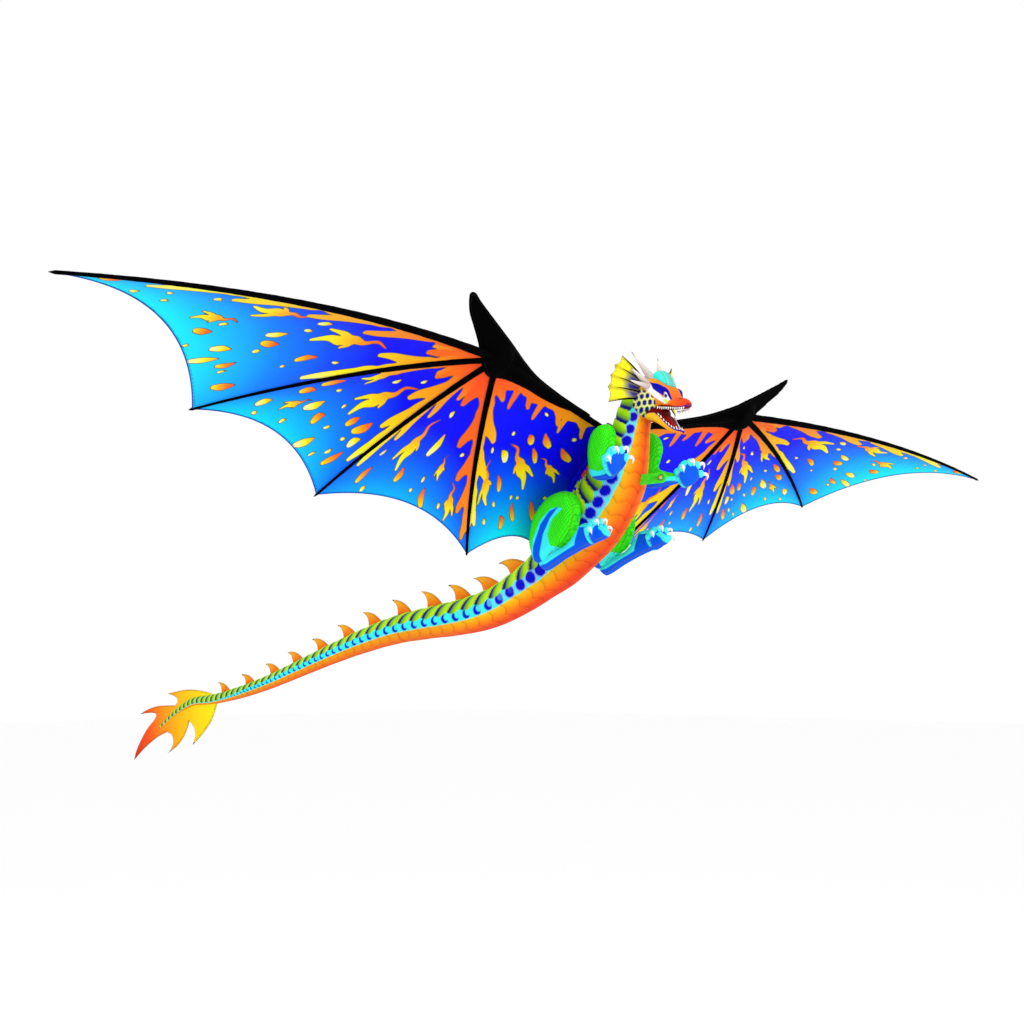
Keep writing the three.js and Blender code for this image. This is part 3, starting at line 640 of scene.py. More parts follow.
def wing_panel(side, number, edge_a, edge_b, rows, columns, belly, normal, start, hub):
    """One printed sail panel, its hem, and the print worked out on its flat shape."""
    flat, points, out, v = panel_points(edge_a, edge_b, rows, columns, belly, normal, start, hub,
                                        SCALLOPS[number])
    far_a, far_b = flat[-1, 0] - hub, flat[-1, -1] - hub
    across = unit(np.cross(far_a, far_b))
    ahead = unit(unit(far_a) + unit(far_b))
    sideways = np.cross(across, ahead)
    grid = np.stack([(flat - hub) @ ahead, (flat - hub) @ sideways], -1)
    p2 = grid.reshape(-1, 2)
    flames = Flames(p2)
    first = grid[0, ::-6] if number == 4 else grid[::6, 0]
    centre = grid[rows // 2, columns // 2]
    tones = {1: [(0.05, 0.95), (0.05, 0.9)], 2: [(0.05, 0.6), (0.05, 0.85)], 3: [(0.05, 0.85), (0.0, 0.4)],
             4: [(0.0, 0.5), (0.05, 0.95)]}[number]
    for k, rib in enumerate((first, grid[::6, -1])):
        border(flames, rib, centre, BORDERS[number][k], number + 2.3 * k, tones[k])
    flames.add(0.050 - np.linalg.norm(p2, axis=1), 0.02, 14 * MM)
    for k, (far, over_by, size) in enumerate(SPLASHES[number]):
        at = grid[int(far * (rows - 1)), int(over_by * (columns - 1))]
        splash(flames, at, unit(at), size * MM, 1 - 2 * (k % 2))
    scatter(flames, grid, 20 + number, DROP_SPACING[number] * MM)
    v_all = np.broadcast_to(v, (rows, columns))
    out_all = np.broadcast_to(out, (rows, columns))
    reach = GROUND_REACH[number][0] + (GROUND_REACH[number][1] - GROUND_REACH[number][0]) * v_all
    ground = out_all * reach * (0.80 + 0.20 * (4 * v_all * (1 - v_all)) ** 0.7)
    width = np.linalg.norm(points[:, -1] - points[:, 0], axis=1)[:, None]
    length = np.linalg.norm(points[-1] - points[0], axis=1)[None, :]
    rim = np.minimum(np.minimum(v_all, 1 - v_all) * width - 2 * MM, (1 - out_all) * length)
    cloth = np.stack([p2[:, 0], p2[:, 1], rim.ravel()], -1)
    name = "sail_%d_%s" % (number, side)
    made = piece(name, points.reshape(-1, 3), grid_faces(rows, columns), "sail", "wing_" + side,
                 "sail_nylon", cloth=cloth, ground=ground, flame_depth=flames.depth, flame_tone=flames.tone)
    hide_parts("sail_panel_%d_%s" % (number, side))
    hem_points, hem_faces, hem_cloth = tube(points[-1], 0.9 * MM, 0.8 * MM, normal, 8)
    hem = piece("hem_%d_%s" % (number, side), hem_points, hem_faces, "hem", "wing_" + side, "sail_nylon",
                cloth=hem_cloth)
    size = np.ptp(p2, axis=0)


def black_sleeve(name, body, path, wide, high, normal, replaced):
    """A black nylon sleeve that tapers along a rod, a little puckered by its seam."""
    run = arc_length(path)
    pucker = 1 + 0.03 * np.sin(run / (7 * MM)) + 0.02 * np.sin(run / (2.9 * MM))
    points, faces, cloth = tube(path, wide * pucker, high * pucker, normal, 14)
    made = piece(name, points, faces, "black", body, "black_nylon", cloth=cloth)
    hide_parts(replaced)
    return made


def thumb_outline():
    """The thumb and the gusset over the wrist, in the wing's plane with the thumb along +X."""
    inner = [(-210, 117), (-168, 96), (-129, 76), (-77, 52), (-34, 38), (10, 27), (57, 15), (89, 7),
             (105, 4)]
    tip = [(110, -1), (107, -6)]
    outer = [(88, -13), (65, -15), (40, -17), (24, -20), (8, -23), (-6, -23), (-18, -20), (-28, -12),
             (-38, -2), (-52, 9), (-83, 29), (-122, 51), (-167, 80)]
    return catmull(np.array(inner + tip + outer) * MM, 240, closed=True)


def thumb_lean(x):
    """How far the thumb's middle stands behind the wing's plane, at a distance out from the hub."""
    return (1 + 16 * np.clip(x / 0.11, 0, 1)) * MM


def build_wing(side):
    sign = SIDES[side]
    body = "wing_" + side
    hub = middle("wrist_hub_" + side)
    curves = [rib_curve(r + "_rod_" + side, hub) for r in RIBS]
    ends = [curve(length) for curve, length in curves]
    low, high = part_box("spine_rod")
    shoulder = np.array([0, low.y, high.z])
    hip = np.array([0, high.y, low.z])
    normal = unit(np.cross(hub - shoulder, ends[3] - shoulder)) * sign
    normal = normal if normal[1] > 0 else -normal
    as_edge = lambda k: (lambda share: curves[k][0](share * curves[k][1]))
    for k, (rows, columns) in enumerate(PANEL_GRIDS):
        wing_panel(side, k + 1, as_edge(k), as_edge(k + 1), rows, columns, BILLOW, normal, 0.035, hub)
    hinge = np.array([sign * 7 * MM, 0, 0])
    spine_edge = lambda share: shoulder + hinge + (hip - shoulder) * share[..., None]
    wing_panel(side, 4, spine_edge, as_edge(3), 130, 150, 0.6 * BILLOW, normal, 0.02, hub)

    for (curve, length), rib, root_width in zip(curves, RIBS, SLEEVE_ROOTS):
        out = np.linspace(10 * MM, length + SLEEVE_POINT, 100)
        share = np.clip(out / length, 0, 1) ** 0.8
        point = np.clip((length + SLEEVE_POINT * 1.15 - out) / SLEEVE_POINT, 0, 1)
        wide = (root_width + (SLEEVE_TIP - root_width) * share) * MM * point
        black_sleeve(rib + "_cover_" + side, body, curve(out), wide, wide * 0.75, normal,
                     rib + "_sleeve_" + side)
    arm = shoulder + hinge * 1.8 + (hub - shoulder - hinge * 1.8) * np.linspace(0, 1, 60)[:, None]
    share = np.linspace(0, 1, 60)
    black_sleeve("arm_cover_" + side, body, arm, (4.6 + 3.2 * share**2) * MM, (4.2 + 2.6 * share**2) * MM,
                 normal, "arm_sleeve_" + side)

    thumb = node_points("thumb_fin_" + side)
    right = thumb[np.argmax(np.linalg.norm(thumb - hub, axis=1) * (thumb[:, 2] > hub[2]))] - hub
    right = unit(right - normal * (right @ normal))
    up = np.cross(normal, right) * -sign
    place = lambda p, h: (hub + p[:, :1] * right + p[:, 1:2] * up
                          + (h * sign + thumb_lean(p[:, 0]))[:, None] * normal)
    swell = lambda p: 1 + 3.4 / (1 + (np.linalg.norm(p, axis=1) / (21 * MM)) ** 8)
    points, faces, flat, _, rim = stuffed_shape(thumb_outline(), 5.5 * MM, 5 * MM, 3 * MM, place, swell)
    made = piece("thumb_cover_" + side, points, faces, "black", body, "black_nylon",
                 cloth=np.column_stack([flat, rim]))
    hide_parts("thumb_fin_" + side)


for wing_side in SIDES:
    build_wing(wing_side)


# ---------- body ----------
# Centre line from the neck's top to the tail's thin end: y, z and radius, in millimetres.
BODY_LINE = np.array([
    (44, 116, 20), (47, 98, 25), (53, 76, 27.5), (61, 50, 33), (70, 26, 39), (81, 2, 43.5),
    (101, -27, 46), (128, -58, 46), (160, -86, 43.5), (192, -112, 39), (224, -131, 35), (264, -151, 32.5),
    (308, -169, 30.5), (360, -182, 29), (418, -190, 27), (484, -197, 24.7), (552, -206, 22.5),
    (634, -224, 19.5), (716, -246, 16.7), (797, -269, 14.5), (878, -292, 12.6), (960, -311, 11),
    (1043, -325, 9.2), (1108, -331, 7.8), (1160, -350, 5.8), (1205, -374, 3.8), (1242, -398, 1.2)]) * MM
# Down the body in metres: the angles from the belly's middle where the belly meets the cyan stripe and where
# the stripe meets the back, then the pitch of the back plates and of the stripe's spots in millimetres.
BANDS = np.array([
    (0, 36, 68, 19, 17), (0.12, 48, 82, 21, 18), (0.25, 60, 96, 25, 21), (0.36, 68, 105, 34, 25),
    (0.60, 68, 107, 29, 24), (0.82, 66, 106, 24, 17), (1.05, 64, 102, 19, 11), (1.16, 50, 66, 16, 8),
    (1.40, 46, 50, 13, 6)])
RING = 1.5 * MM  # spacing of the body's rings
AROUND = 128


def body_curve():
    """Even, close stations along the body: centre, radius, run, and the plates and spots before each."""
    fine = catmull(BODY_LINE, 6000)
    run = arc_length(fine[:, :2])
    even = np.arange(0, run[-1], RING)
    line = np.stack([np.interp(even, run, fine[:, k]) for k in range(3)], -1)
    counts = [np.cumsum(RING / (np.interp(even, BANDS[:, 0], BANDS[:, k]) * MM)) for k in (3, 4)]
    return line[:, :2], line[:, 2], even, counts[0], counts[1]


CENTRE, RADIUS, RUN, PLATES, SPOTS = body_curve()


def body_print(run, plates, spots, radius, phi):
    """The dragon's print: orange belly scales, a cyan stripe with blue spots, lime plates on the back.
    Painted shade grades the belly and darkens the end of each belly scale and back plate.
    Returns the colours and how far each point lies along its back plate."""
    a = np.abs(phi)
    belly_edge, back_edge = (np.radians(np.interp(run, BANDS[:, 0], BANDS[:, k])) for k in (1, 2))
    spot_pitch = np.interp(run, BANDS[:, 0], BANDS[:, 4]) * MM
    share = a / belly_edge
    # The belly's orange runs from red-orange in its middle to gold at the stripe: painted shade of the
    # rounded belly, the same on both sides.
    neck = ramp(share, [(0.0, srgb(232, 78, 22)), (0.40, srgb(250, 122, 20)), (0.8, srgb(255, 170, 20)),
                        (1.0, srgb(250, 205, 20))])
    chest = ramp(share, [(0.0, srgb(234, 54, 20)), (0.30, srgb(242, 78, 20)), (0.56, srgb(252, 124, 16)),
                         (0.84, srgb(255, 178, 10)), (1.0, srgb(246, 210, 10))])
    tail = ramp(share, [(0.0, srgb(226, 78, 18)), (0.45, srgb(244, 122, 14)), (1.0, srgb(248, 172, 12))])
    belly = over(over(neck, chest, step(run, 0.20, 0.16)), tail, step(run, 0.50, 0.16))
    # Painted shade across each belly scale darkens and reddens it towards its end; a dark line then marks
    # each scale's printed outline.
    cell = (plates * 1.15 + 0.30 * np.abs(np.sin(phi * 5.0))) % 1.0
    belly = over(belly, belly * np.array([0.95, 0.72, 0.7]), 0.8 * step(cell, 0.78, 0.4))
    belly = over(belly, belly * 0.45, 0.5 * (1 - step(np.abs(cell - 0.97), 0.03, 0.03)))

    stripe = np.broadcast_to(STRIPE_CYAN, (len(a), 3))
    middle = (belly_edge * 0.52 + back_edge * 0.48)
    dx = (spots - np.floor(spots) - 0.5) * spot_pitch
    dy = (a - middle) * radius
    size = np.minimum(0.44 * spot_pitch, 0.42 * (back_edge - belly_edge) * radius)
    away = np.hypot(dx, dy)
    on_tail = step(run, 0.40, 0.12)
    bite = np.hypot(dx + size * 0.55, dy - size * 0.25)
    spot = (1 - step(away, size, 1.0 * MM)) * (1 - on_tail * (1 - step(bite, size * 0.72, 1.0 * MM)))
    halo = (1 - step(away, size * 1.3, 3 * MM)) * (1 - on_tail)
    stripe = over(over(stripe, HALO, 0.8 * halo), SPOT_BLUE, spot)

    lean = (a - back_edge) / (math.pi - back_edge)
    plate = (plates + 0.42 * lean) % 1.0
    # Each back plate is bright lime, then painted shadow darkens it through olive to slate towards its end,
    # where the next plate overlaps it; a navy gap lies before the next plate.
    back = ramp(plate, [(0.0, srgb(200, 240, 10)), (0.30, LIME), (0.56, srgb(120, 180, 30)), (0.68, SHADOW_SLATE),
                        (0.76, NAVY), (0.96, NAVY), (1.0, srgb(200, 240, 10))])
    colour = over(belly, stripe, step(a * radius, belly_edge * radius, 1.2 * MM))
    bulge = back_edge - 0.16 * np.sin(((plates) % 1.0) * math.pi)
    return over(colour, back, step(a * radius, bulge * radius, 1.2 * MM)), plate


def body_skin(name, first, last):
    """The printed skin from one run along the body to another."""
    keep = np.where((RUN >= first - RING / 2) & (RUN <= last + RING / 2))[0]
    centre, radius, run = CENTRE[keep], RADIUS[keep], RUN[keep]
    along = unit(np.gradient(CENTRE, axis=0)[keep])
    phi = np.linspace(-math.pi, math.pi, AROUND, endpoint=False)
    rows = len(keep)
    f = np.tile(phi, rows)
    r = np.repeat(radius, AROUND)
    s = np.repeat(run, AROUND)
    paint, plate = body_print(s, np.repeat(PLATES[keep], AROUND), np.repeat(SPOTS[keep], AROUND), r, f)
    belly_edge, back_edge = (np.radians(np.interp(s, BANDS[:, 0], BANDS[:, k])) for k in (1, 2))
    on_back = step(np.abs(f), back_edge, 0.25)
    shingle = on_back * (0.035 - 0.08 * plate**1.5)
    seam = 1 - 0.025 * np.exp(-(((np.abs(f) - belly_edge) * r / (2.2 * MM)) ** 2))
    soft = 1 + 0.012 * np.sin(s * 57 + 3 * np.sin(f * 2)) * np.sin(f * 3 + s * 31)
    reach = r * seam * soft * (1 + shingle)
    ventral = np.repeat(np.stack([along[:, 1], -along[:, 0]], -1), AROUND, axis=0)
    c = np.repeat(centre, AROUND, axis=0)
    points = np.stack([np.sin(f) * reach, c[:, 0] + ventral[:, 0] * np.cos(f) * reach,
                       c[:, 1] + ventral[:, 1] * np.cos(f) * reach], -1)
    cloth = np.stack([s, f * r, np.abs(np.abs(f) - belly_edge) * r], -1)
    made = piece(name, points, grid_faces(rows, AROUND, wrap=True), "print", slot="body_nylon", paint=paint,
                 cloth=cloth)
    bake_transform(made)
    return made


def run_at(y, z):
    return RUN[np.argmin(np.hypot(CENTRE[:, 0] - y, CENTRE[:, 1] - z))]


JOINTS = {j["name"]: j for j in frame["joints"]}


def joint_run(name):
    _, y, z = JOINTS[name]["pos_m"]
    return run_at(y, z)


def build_skins():
    """Neck, torso and tail as pieces that meet in the middle of each rigid length."""
    names = ["tail_swing_1", "tail_lift_2", "tail_swing_3", "tail_lift_4", "tail_fin_swing"]
    runs = [joint_run(n) for n in names]
    neck = run_at(0.054, 0.078)
    cuts = [0.0, neck + 0.022] + [(a + b) / 2 for a, b in zip(runs, runs[1:])] + [RUN[-1]]
    titles = ["neck_skin", "torso_skin", "tail_skin_1", "tail_skin_2", "tail_skin_3", "tail_skin_4"]
    stands = [[], ["torso_shell"], ["tail_length_1"], ["tail_length_2"], ["tail_length_3"], ["tail_length_4"]]
    for k, title in enumerate(titles):
        made = body_skin(title, cuts[k], cuts[k + 1])
        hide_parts(*stands[k])


build_skins()


# ---------- spikes and tail fin ----------
def spike_outline(base, tall):
    """A spike swept back like a thorn. It stands on a base along +X, which points to the tail's end."""
    lead = [(-0.05, -0.12), (0.16, 0.26), (0.52, 0.66), (0.92, 0.90), (1.32, 1.0)]
    trail = [(1.08, 0.72), (0.97, 0.38), (0.98, -0.12)]
    front = catmull(np.array(lead), 20)
    rear = catmull(np.array([lead[-1]] + trail), 14)[1:]
    return np.vstack([front, rear]) * np.array([base, tall])


def spike(name, run, base, tall, body):
    k = np.argmin(np.abs(RUN - run))
    along2 = unit(CENTRE[min(k + 3, len(RUN) - 1)] - CENTRE[max(k - 3, 0)])
    along = np.array([0, *along2])
    up = np.cross(np.array([1.0, 0, 0]), along)
    origin = np.array([0, *CENTRE[k]]) + up * RADIUS[k] * 0.985
    outline = spike_outline(base, tall)
    points, faces, flat, _, rim = stuffed_shape(outline, 5 * MM, 5 * MM, 2 * MM, plane(origin, along, up))
    share = np.clip(flat[:, 1] / tall, 0, 1)
    paint = ramp(share, [(0.0, srgb(255, 110, 15)), (0.45, srgb(255, 150, 20)), (0.8, srgb(255, 185, 40)),
                         (1.0, srgb(255, 205, 60))])
    paint = over(paint, srgb(150, 90, 30), 0.7 * (1 - step(rim, 0.7 * MM, 0.6 * MM)))
    return piece(name, points, faces, "seamed", body, "crest_nylon", paint=paint,
                 cloth=np.column_stack([flat, rim]))


def join(pieces, name):
    """Joins pieces into one, which keeps the first one's riding."""
    bpy.ops.object.select_all(action="DESELECT")
    for p in pieces:
        p.select_set(True)
    bpy.context.view_layer.objects.active = pieces[0]
    bpy.ops.object.join()
    pieces[0].name = name
    return pieces[0]


SPIKES_PER_LENGTH = 3


def build_crest():
    joints = [joint_run(n) for n in ("tail_swing_1", "tail_lift_2", "tail_swing_3", "tail_lift_4")]
    joints.append(joint_run("tail_fin_swing"))
    for k in range(4):
        first, last = joints[k] + 0.018, joints[k + 1] - 0.05
        made = []
        for i in range(SPIKES_PER_LENGTH):
            run = first + (last - first) * i / (SPIKES_PER_LENGTH - 1)
            tall = 0.031 - 0.0030 * (k + i / 3)
            made.append(spike("spike", run, tall * 1.30, tall, "tail_%d" % (k + 1)))
        whole = join(made, "crest_%d" % (k + 1))
        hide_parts("tail_crest_%d" % (k + 1))


build_crest()


def build_spine_cover():
    """The printed nylon strip that wraps the spine rod and carries both wings' fabric hinges."""
    low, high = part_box("spine_rod")
    line = np.linspace([0, low.y, high.z], [0, high.y, low.z], 40)
    points, faces, cloth = tube(line, 9 * MM, 3.4 * MM, (0, 0.763, 0.647), 20)
    paint = np.broadcast_to(DEEP_BLUE, (len(points), 3))
    piece("spine_cover", points, faces, "print", "torso", "body_nylon", paint=paint, cloth=cloth)


build_spine_cover()


def build_back_web():
    """The sewn web that ties the torso's back to the spine rod, with the tips of the back plates on it."""
    low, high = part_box("spine_rod")
    top = np.array([low.y, high.z])
    foot = np.array([high.y, low.z])
    edge = [top + (foot - top) * t + np.array([-1.0, -0.9]) * MM for t in np.linspace(0.10, 0.98, 12)]
    inner = [CENTRE[np.argmin(np.abs(RUN - r))] for r in np.linspace(0.30, 0.10, 12)]
    place = lambda p, h: np.column_stack([h, p])
    points, faces, flat, _, rim = stuffed_shape(np.array(edge + inner), 5 * MM, 4 * MM, 2 * MM, place)
    gaps = np.linalg.norm(flat[:, None] - CENTRE[None, ::4], axis=2)
    nearest = gaps.argmin(axis=1) * 4
    stand = gaps.min(axis=1) - RADIUS[nearest]
    phase = PLATES[nearest] + 0.42
    tip = (4 + 13 * np.abs(np.sin(phase * math.pi)) ** 0.6) * MM
    plate = ramp(phase % 1.0, [(0.0, srgb(210, 240, 10)), (0.55, LIME), (0.8, srgb(230, 220, 20)),
                               (1.0, NAVY)])
    paint = over(np.broadcast_to(DEEP_BLUE, (len(flat), 3)), plate, 1 - step(stand, tip, 1.2 * MM))
    flame = step(flat[:, 1], 0.012, 3 * MM) * (1 - step(stand, tip + 3 * MM, 1.2 * MM))
    paint = over(paint, RED_ORANGE, flame)
    made = piece("back_web", points, faces, "print", "torso", "body_nylon", paint=paint,
                 cloth=np.column_stack([flat, rim]))


build_back_web()


def fin_outline():
    """The tail fin in side view, as y and z: two barbs above, a long tip, two barbs below."""
    corners = [
        [(1036, -336), (1034, -322), (1068, -312), (1122, -308), (1160, -311), (1196, -317)],
        [(1196, -317), (1172, -322), (1163, -331), (1172, -339)],
        [(1172, -339), (1226, -341), (1262, -348), (1290, -358)],
        [(1290, -358), (1250, -355), (1234, -358), (1240, -368)],
        [(1240, -368), (1268, -390), (1296, -424), (1308, -450)],
        [(1308, -450), (1270, -424), (1228, -402), (1196, -391)],
        [(1196, -391), (1180, -396), (1174, -410), (1182, -424), (1193, -432)],
        [(1193, -432), (1160, -416), (1136, -394), (1122, -368)],
        [(1122, -368), (1107, -380), (1103, -396), (1110, -413)],
        [(1110, -413), (1080, -392), (1052, -366), (1036, -336)],
    ]
    runs = [catmull(np.array(c, float), 16)[:-1] for c in corners]
    return np.vstack(runs) * MM


def build_fin():
    outline = fin_outline()
    place = lambda p, h: np.column_stack([h, p])
    points, faces, flat, _, rim = stuffed_shape(outline, 5 * MM, 7 * MM, 2.2 * MM, place)
    share = np.clip((flat[:, 0] - 1.04) / 0.27 - (flat[:, 1] + 0.36) * 0.6, 0, 1)
    paint = ramp(share, [(0.0, srgb(255, 236, 10)), (0.3, srgb(255, 205, 10)), (0.6, srgb(255, 150, 15)),
                         (0.8, srgb(255, 90, 20)), (1.0, srgb(215, 45, 20))])
    paint = over(paint, srgb(140, 90, 40), 0.7 * (1 - step(rim, 0.8 * MM, 0.7 * MM)))
    made = piece("fin", points, faces, "seamed", "tail_tip", "crest_nylon", paint=paint,
                 cloth=np.column_stack([flat, rim]))
    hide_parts("tail_fin")


build_fin()


# ---------- head ----------
# Skull sections: y, lowest z, highest z and half width, in millimetres.
SKULL = np.array([
    (-48, 95.5, 101, 6), (-46.8, 94.5, 104.5, 9), (-43, 93.5, 107.8, 11.5), (-38, 93.5, 108.6, 13.5),
    (-33, 94, 111, 15.5), (-27, 94.5, 118, 19), (-20, 95, 127, 22.5), (-12, 96, 136, 26),
    (-3, 95, 142, 28.5), (7, 89, 144, 29.5), (17, 86, 143.5, 29), (26, 88, 139.5, 26.5),
    (35, 95, 131, 22), (42, 103, 124, 15.5), (47, 110, 118, 7)]) * MM
# Jaw sections, in the same order.
JAW = np.array([
    (12, 82, 91, 23), (4, 79, 93, 25), (-4, 74.5, 92.5, 24.5), (-11, 69.5, 86, 21.5),
    (-18, 64.5, 76.5, 17), (-25, 61, 69.5, 13), (-31, 59.5, 65.5, 9.5), (-36, 60, 64, 6),
    (-38.5, 61, 62.5, 2.5)]) * MM
SLANT = 0.91  # the side print slides back by this much for each step towards the middle of the face


def section(line, y):
    return [np.interp(y, line[:, 0], line[:, k]) for k in (1, 2, 3)]


def head_loft(line, rings, around, power=2.3):
    """Points of a loft along y through sections, which are soft rectangles."""
    fine = catmull(line, rings)
    a = np.linspace(0, 2 * math.pi, around, endpoint=False)
    c, s = np.cos(a), np.sin(a)
    round_c = np.sign(c) * np.abs(c) ** (2 / power)
    round_s = np.sign(s) * np.abs(s) ** (2 / power)
    middle_z = (fine[:, 1] + fine[:, 2]) / 2
    half_z = np.maximum((fine[:, 2] - fine[:, 1]) / 2, 0.5 * MM)
    points = np.stack([fine[:, 3][:, None] * round_c, np.repeat(fine[:, :1], around, 1),
                       middle_z[:, None] + half_z[:, None] * round_s], -1)
    return points


def head_print(p, half_width):
    """The face's print. It is laid out in side view, slanted so that it wraps on to the narrow snout."""
    x = np.abs(p[:, 0])
    y, z = p[:, 1], p[:, 2]
    side = np.column_stack([y - SLANT * (0.026 - x), z])
    paint = ramp(-y, [(-0.02, srgb(255, 190, 25)), (0.0, srgb(255, 160, 25)), (0.022, srgb(255, 125, 25)),
                      (0.038, srgb(255, 85, 25)), (0.052, srgb(235, 55, 25))])
    on_side = step(x, half_width * 0.30, 3 * MM)
    outline = lambda points: np.array(points, float) * MM
    paint = over(paint, srgb(150, 215, 40), step(y, 0.026, 4 * MM))
    cheek = outline([(19, 125), (29, 114), (31, 102), (23, 88), (13, 82), (-4, 84), (-11, 95), (-10, 105),
                     (-4, 112), (6, 120)])
    shade = step(-z, -0.098, 20 * MM)
    ground = over(np.broadcast_to(srgb(245, 238, 90), (len(p), 3)), srgb(190, 230, 50), shade)
    paint = over(paint, hex_spots(side, ground), patch(side, cheek, 2 * MM) * on_side)
    gold_patch = outline([(19, 141), (8, 143), (-1, 135), (6, 130), (18, 131)])
    paint = over(paint, GOLD, patch(side, gold_patch, 2 * MM) * on_side)
    stripe = outline([(11, 132), (0, 130.5), (-12, 118), (-28, 105.5), (-33, 102), (-27, 100.5), (-9, 109.5),
                      (2, 117.5), (11, 125)])
    paint = over(paint, WHITE, patch(side, stripe) * on_side)
    brow = outline([(1, 134), (-8, 129.5), (-31, 122), (-37, 115), (-41, 105), (-36, 106), (-30, 117),
                    (-27, 117.5), (-25.5, 111.5), (-12, 117.5), (-5, 122)])
    paint = over(paint, EYE_BLUE, patch(side, brow) * on_side)
    eye = outline([(-36.5, 105), (-30.5, 116.5), (-26.5, 117), (-25, 108.5), (-29, 104)])
    paint = over(paint, WHITE, patch(side, eye, 0.8 * MM) * on_side)
    lid = outline([(-25, 108), (-34, 104), (-31, 100.5), (-24, 104)])
    paint = over(paint, srgb(190, 235, 110), patch(side, lid, 1.5 * MM) * on_side)
    iris = np.hypot(side[:, 0] + 0.0285, (z - 0.1115) * 0.8)
    paint = over(paint, INK, (1 - step(iris, 2.5 * MM, 0.6 * MM)) * on_side)
    nostril = np.hypot((y + 0.0395) / 3.4, (x - 0.0066) / 2.7) / MM + 9 * step(0.104 - z, 0, 1 * MM)
    paint = over(paint, INK, 1 - step(nostril, 1, 0.35))
    low = np.interp(y, SKULL[:, 0], SKULL[:, 1])
    front = step(-y, 0.002, 4 * MM)
    paint = over(paint, LIP_PURPLE, (1 - step(z, low + 2.4 * MM, 0.8 * MM)) * front)
    palate = (1 - step(x, half_width - 4 * MM, 1 * MM)) * (1 - step(z, low + 4 * MM, 1 * MM)) * front
    return over(paint, MOUTH_RED, palate)


def hex_spots(p, ground):
    """Dark blue spots in rows on pale cells, as on the dragon's cheek."""
    pitch = 10 * MM
    row = p[:, 1] / (pitch * 0.87)
    row_at = np.round(row)
    column = p[:, 0] / pitch + 0.5 * (row_at % 2)
    dx = (column - np.round(column)) * pitch
    dy = (row - row_at) * pitch * 0.87
    away = np.maximum(np.abs(dx), np.abs(dx) * 0.5 + np.abs(dy) * 0.87)
    cells = over(ground, srgb(250, 250, 190), step(away, 4.4 * MM, 0.8 * MM))
    cells = over(cells, INK, 1 - step(away, 3.5 * MM, 0.7 * MM))
    return over(cells, srgb(10, 20, 165), 1 - step(away, 2.6 * MM, 0.8 * MM))


def build_skull():
    points = head_loft(SKULL, 150, 150)
    rings, around, _ = points.shape
    half = np.abs(points[:, :1, 0]).repeat(around, 1)
    cheeks = np.exp(-(((points[..., 1] + 0.002) / 0.02) ** 2 + ((points[..., 2] - 0.112) / 0.018) ** 2))
    sockets = np.exp(-(((points[..., 1] + 0.026) / 0.010) ** 2 + ((points[..., 2] - 0.113) / 0.006) ** 2))
    ridge = np.exp(-(((points[..., 2] - 0.124 - 0.35 * (points[..., 1] + 0.02)) / 0.004) ** 2))
    ridge = ridge * np.exp(-(((points[..., 1] + 0.02) / 0.018) ** 2))
    nose = np.exp(-(((points[..., 1] + 0.055) / 0.006) ** 2 + ((points[..., 2] - 0.107) / 0.005) ** 2))
    swell = 1 + 0.06 * cheeks - 0.16 * sockets + 0.10 * ridge + 0.04 * nose
    points[..., 0] *= swell
    flat = points.reshape(-1, 3)
    paint = head_print(flat, half.ravel())
    seam = np.abs(np.abs(flat[:, 0]) - 0.004)
    cloth = np.stack([flat[:, 1], flat[:, 2], seam + 0.002], -1)
    made = piece("skull_skin", flat, capped_faces(rings, around, flip=True), "print", "head", "body_nylon",
                 paint=paint, cloth=cloth)
    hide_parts("skull")
    return points


SKULL_POINTS = build_skull()


def build_jaw():
    points = head_loft(JAW, 90, 110, 2.6)
    rings, around, _ = points.shape
    flat = points.reshape(-1, 3)
    half = np.abs(points[:, :1, 0]).repeat(around, 1).ravel()
    top = np.interp(flat[:, 1], JAW[::-1, 0], JAW[::-1, 2])
    paint = ramp(-flat[:, 1], [(-0.01, srgb(255, 205, 40)), (0.02, srgb(255, 170, 30)),
                               (0.045, srgb(255, 120, 30))])
    lip = step(flat[:, 2], top - 3.0 * MM, 0.8 * MM)
    paint = over(paint, LIP_PURPLE, lip)
    floor = step(flat[:, 2], top - 2.6 * MM, 0.8 * MM)
    floor = floor * (1 - step(np.abs(flat[:, 0]), half - 4.2 * MM, 1 * MM))
    paint = over(paint, MOUTH_RED, floor)
    hollow = np.clip(1 - (np.abs(flat[:, 0]) / np.maximum(half - 2 * MM, 1 * MM)) ** 2, 0, 1)
    flat[:, 2] -= 2.6 * MM * hollow * step(flat[:, 2], top - 2.5 * MM, 1 * MM)
    cloth = np.stack([flat[:, 1], flat[:, 0], np.full(len(flat), 1.0)], -1)
    made = piece("jaw_skin", flat, capped_faces(rings, around), "print", "lower_jaw", "body_nylon",
                 paint=paint, cloth=cloth)
    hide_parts("jaw")


build_jaw()


def solid_tube(name, path, radii, up, material, body, slot, colours=None, sides=18, count=30, squash=1.0):
    """A tapered piece along a path, painted from its base to its tip."""
    line, r = tapered(np.asarray(path, float) * MM, np.asarray(radii, float) * MM, count)
    points, faces, cloth = tube(line, r, r * squash, up, sides)
    share = np.repeat(np.linspace(0, 1, count), sides)
    paint = ramp(share, colours) if colours else None
    return piece(name, points, faces, material, body, slot, paint=paint, cloth=cloth)


def tooth(base, tip, root_radius, middle_radius, body):
    """A small tapered tooth, in millimetres."""
    return solid_tube("tooth", [base, (base + tip) / 2, tip], [root_radius, middle_radius, 0.2], (0, 1, 0.01),
                      "enamel", body, "horn_nylon", sides=8, count=8)


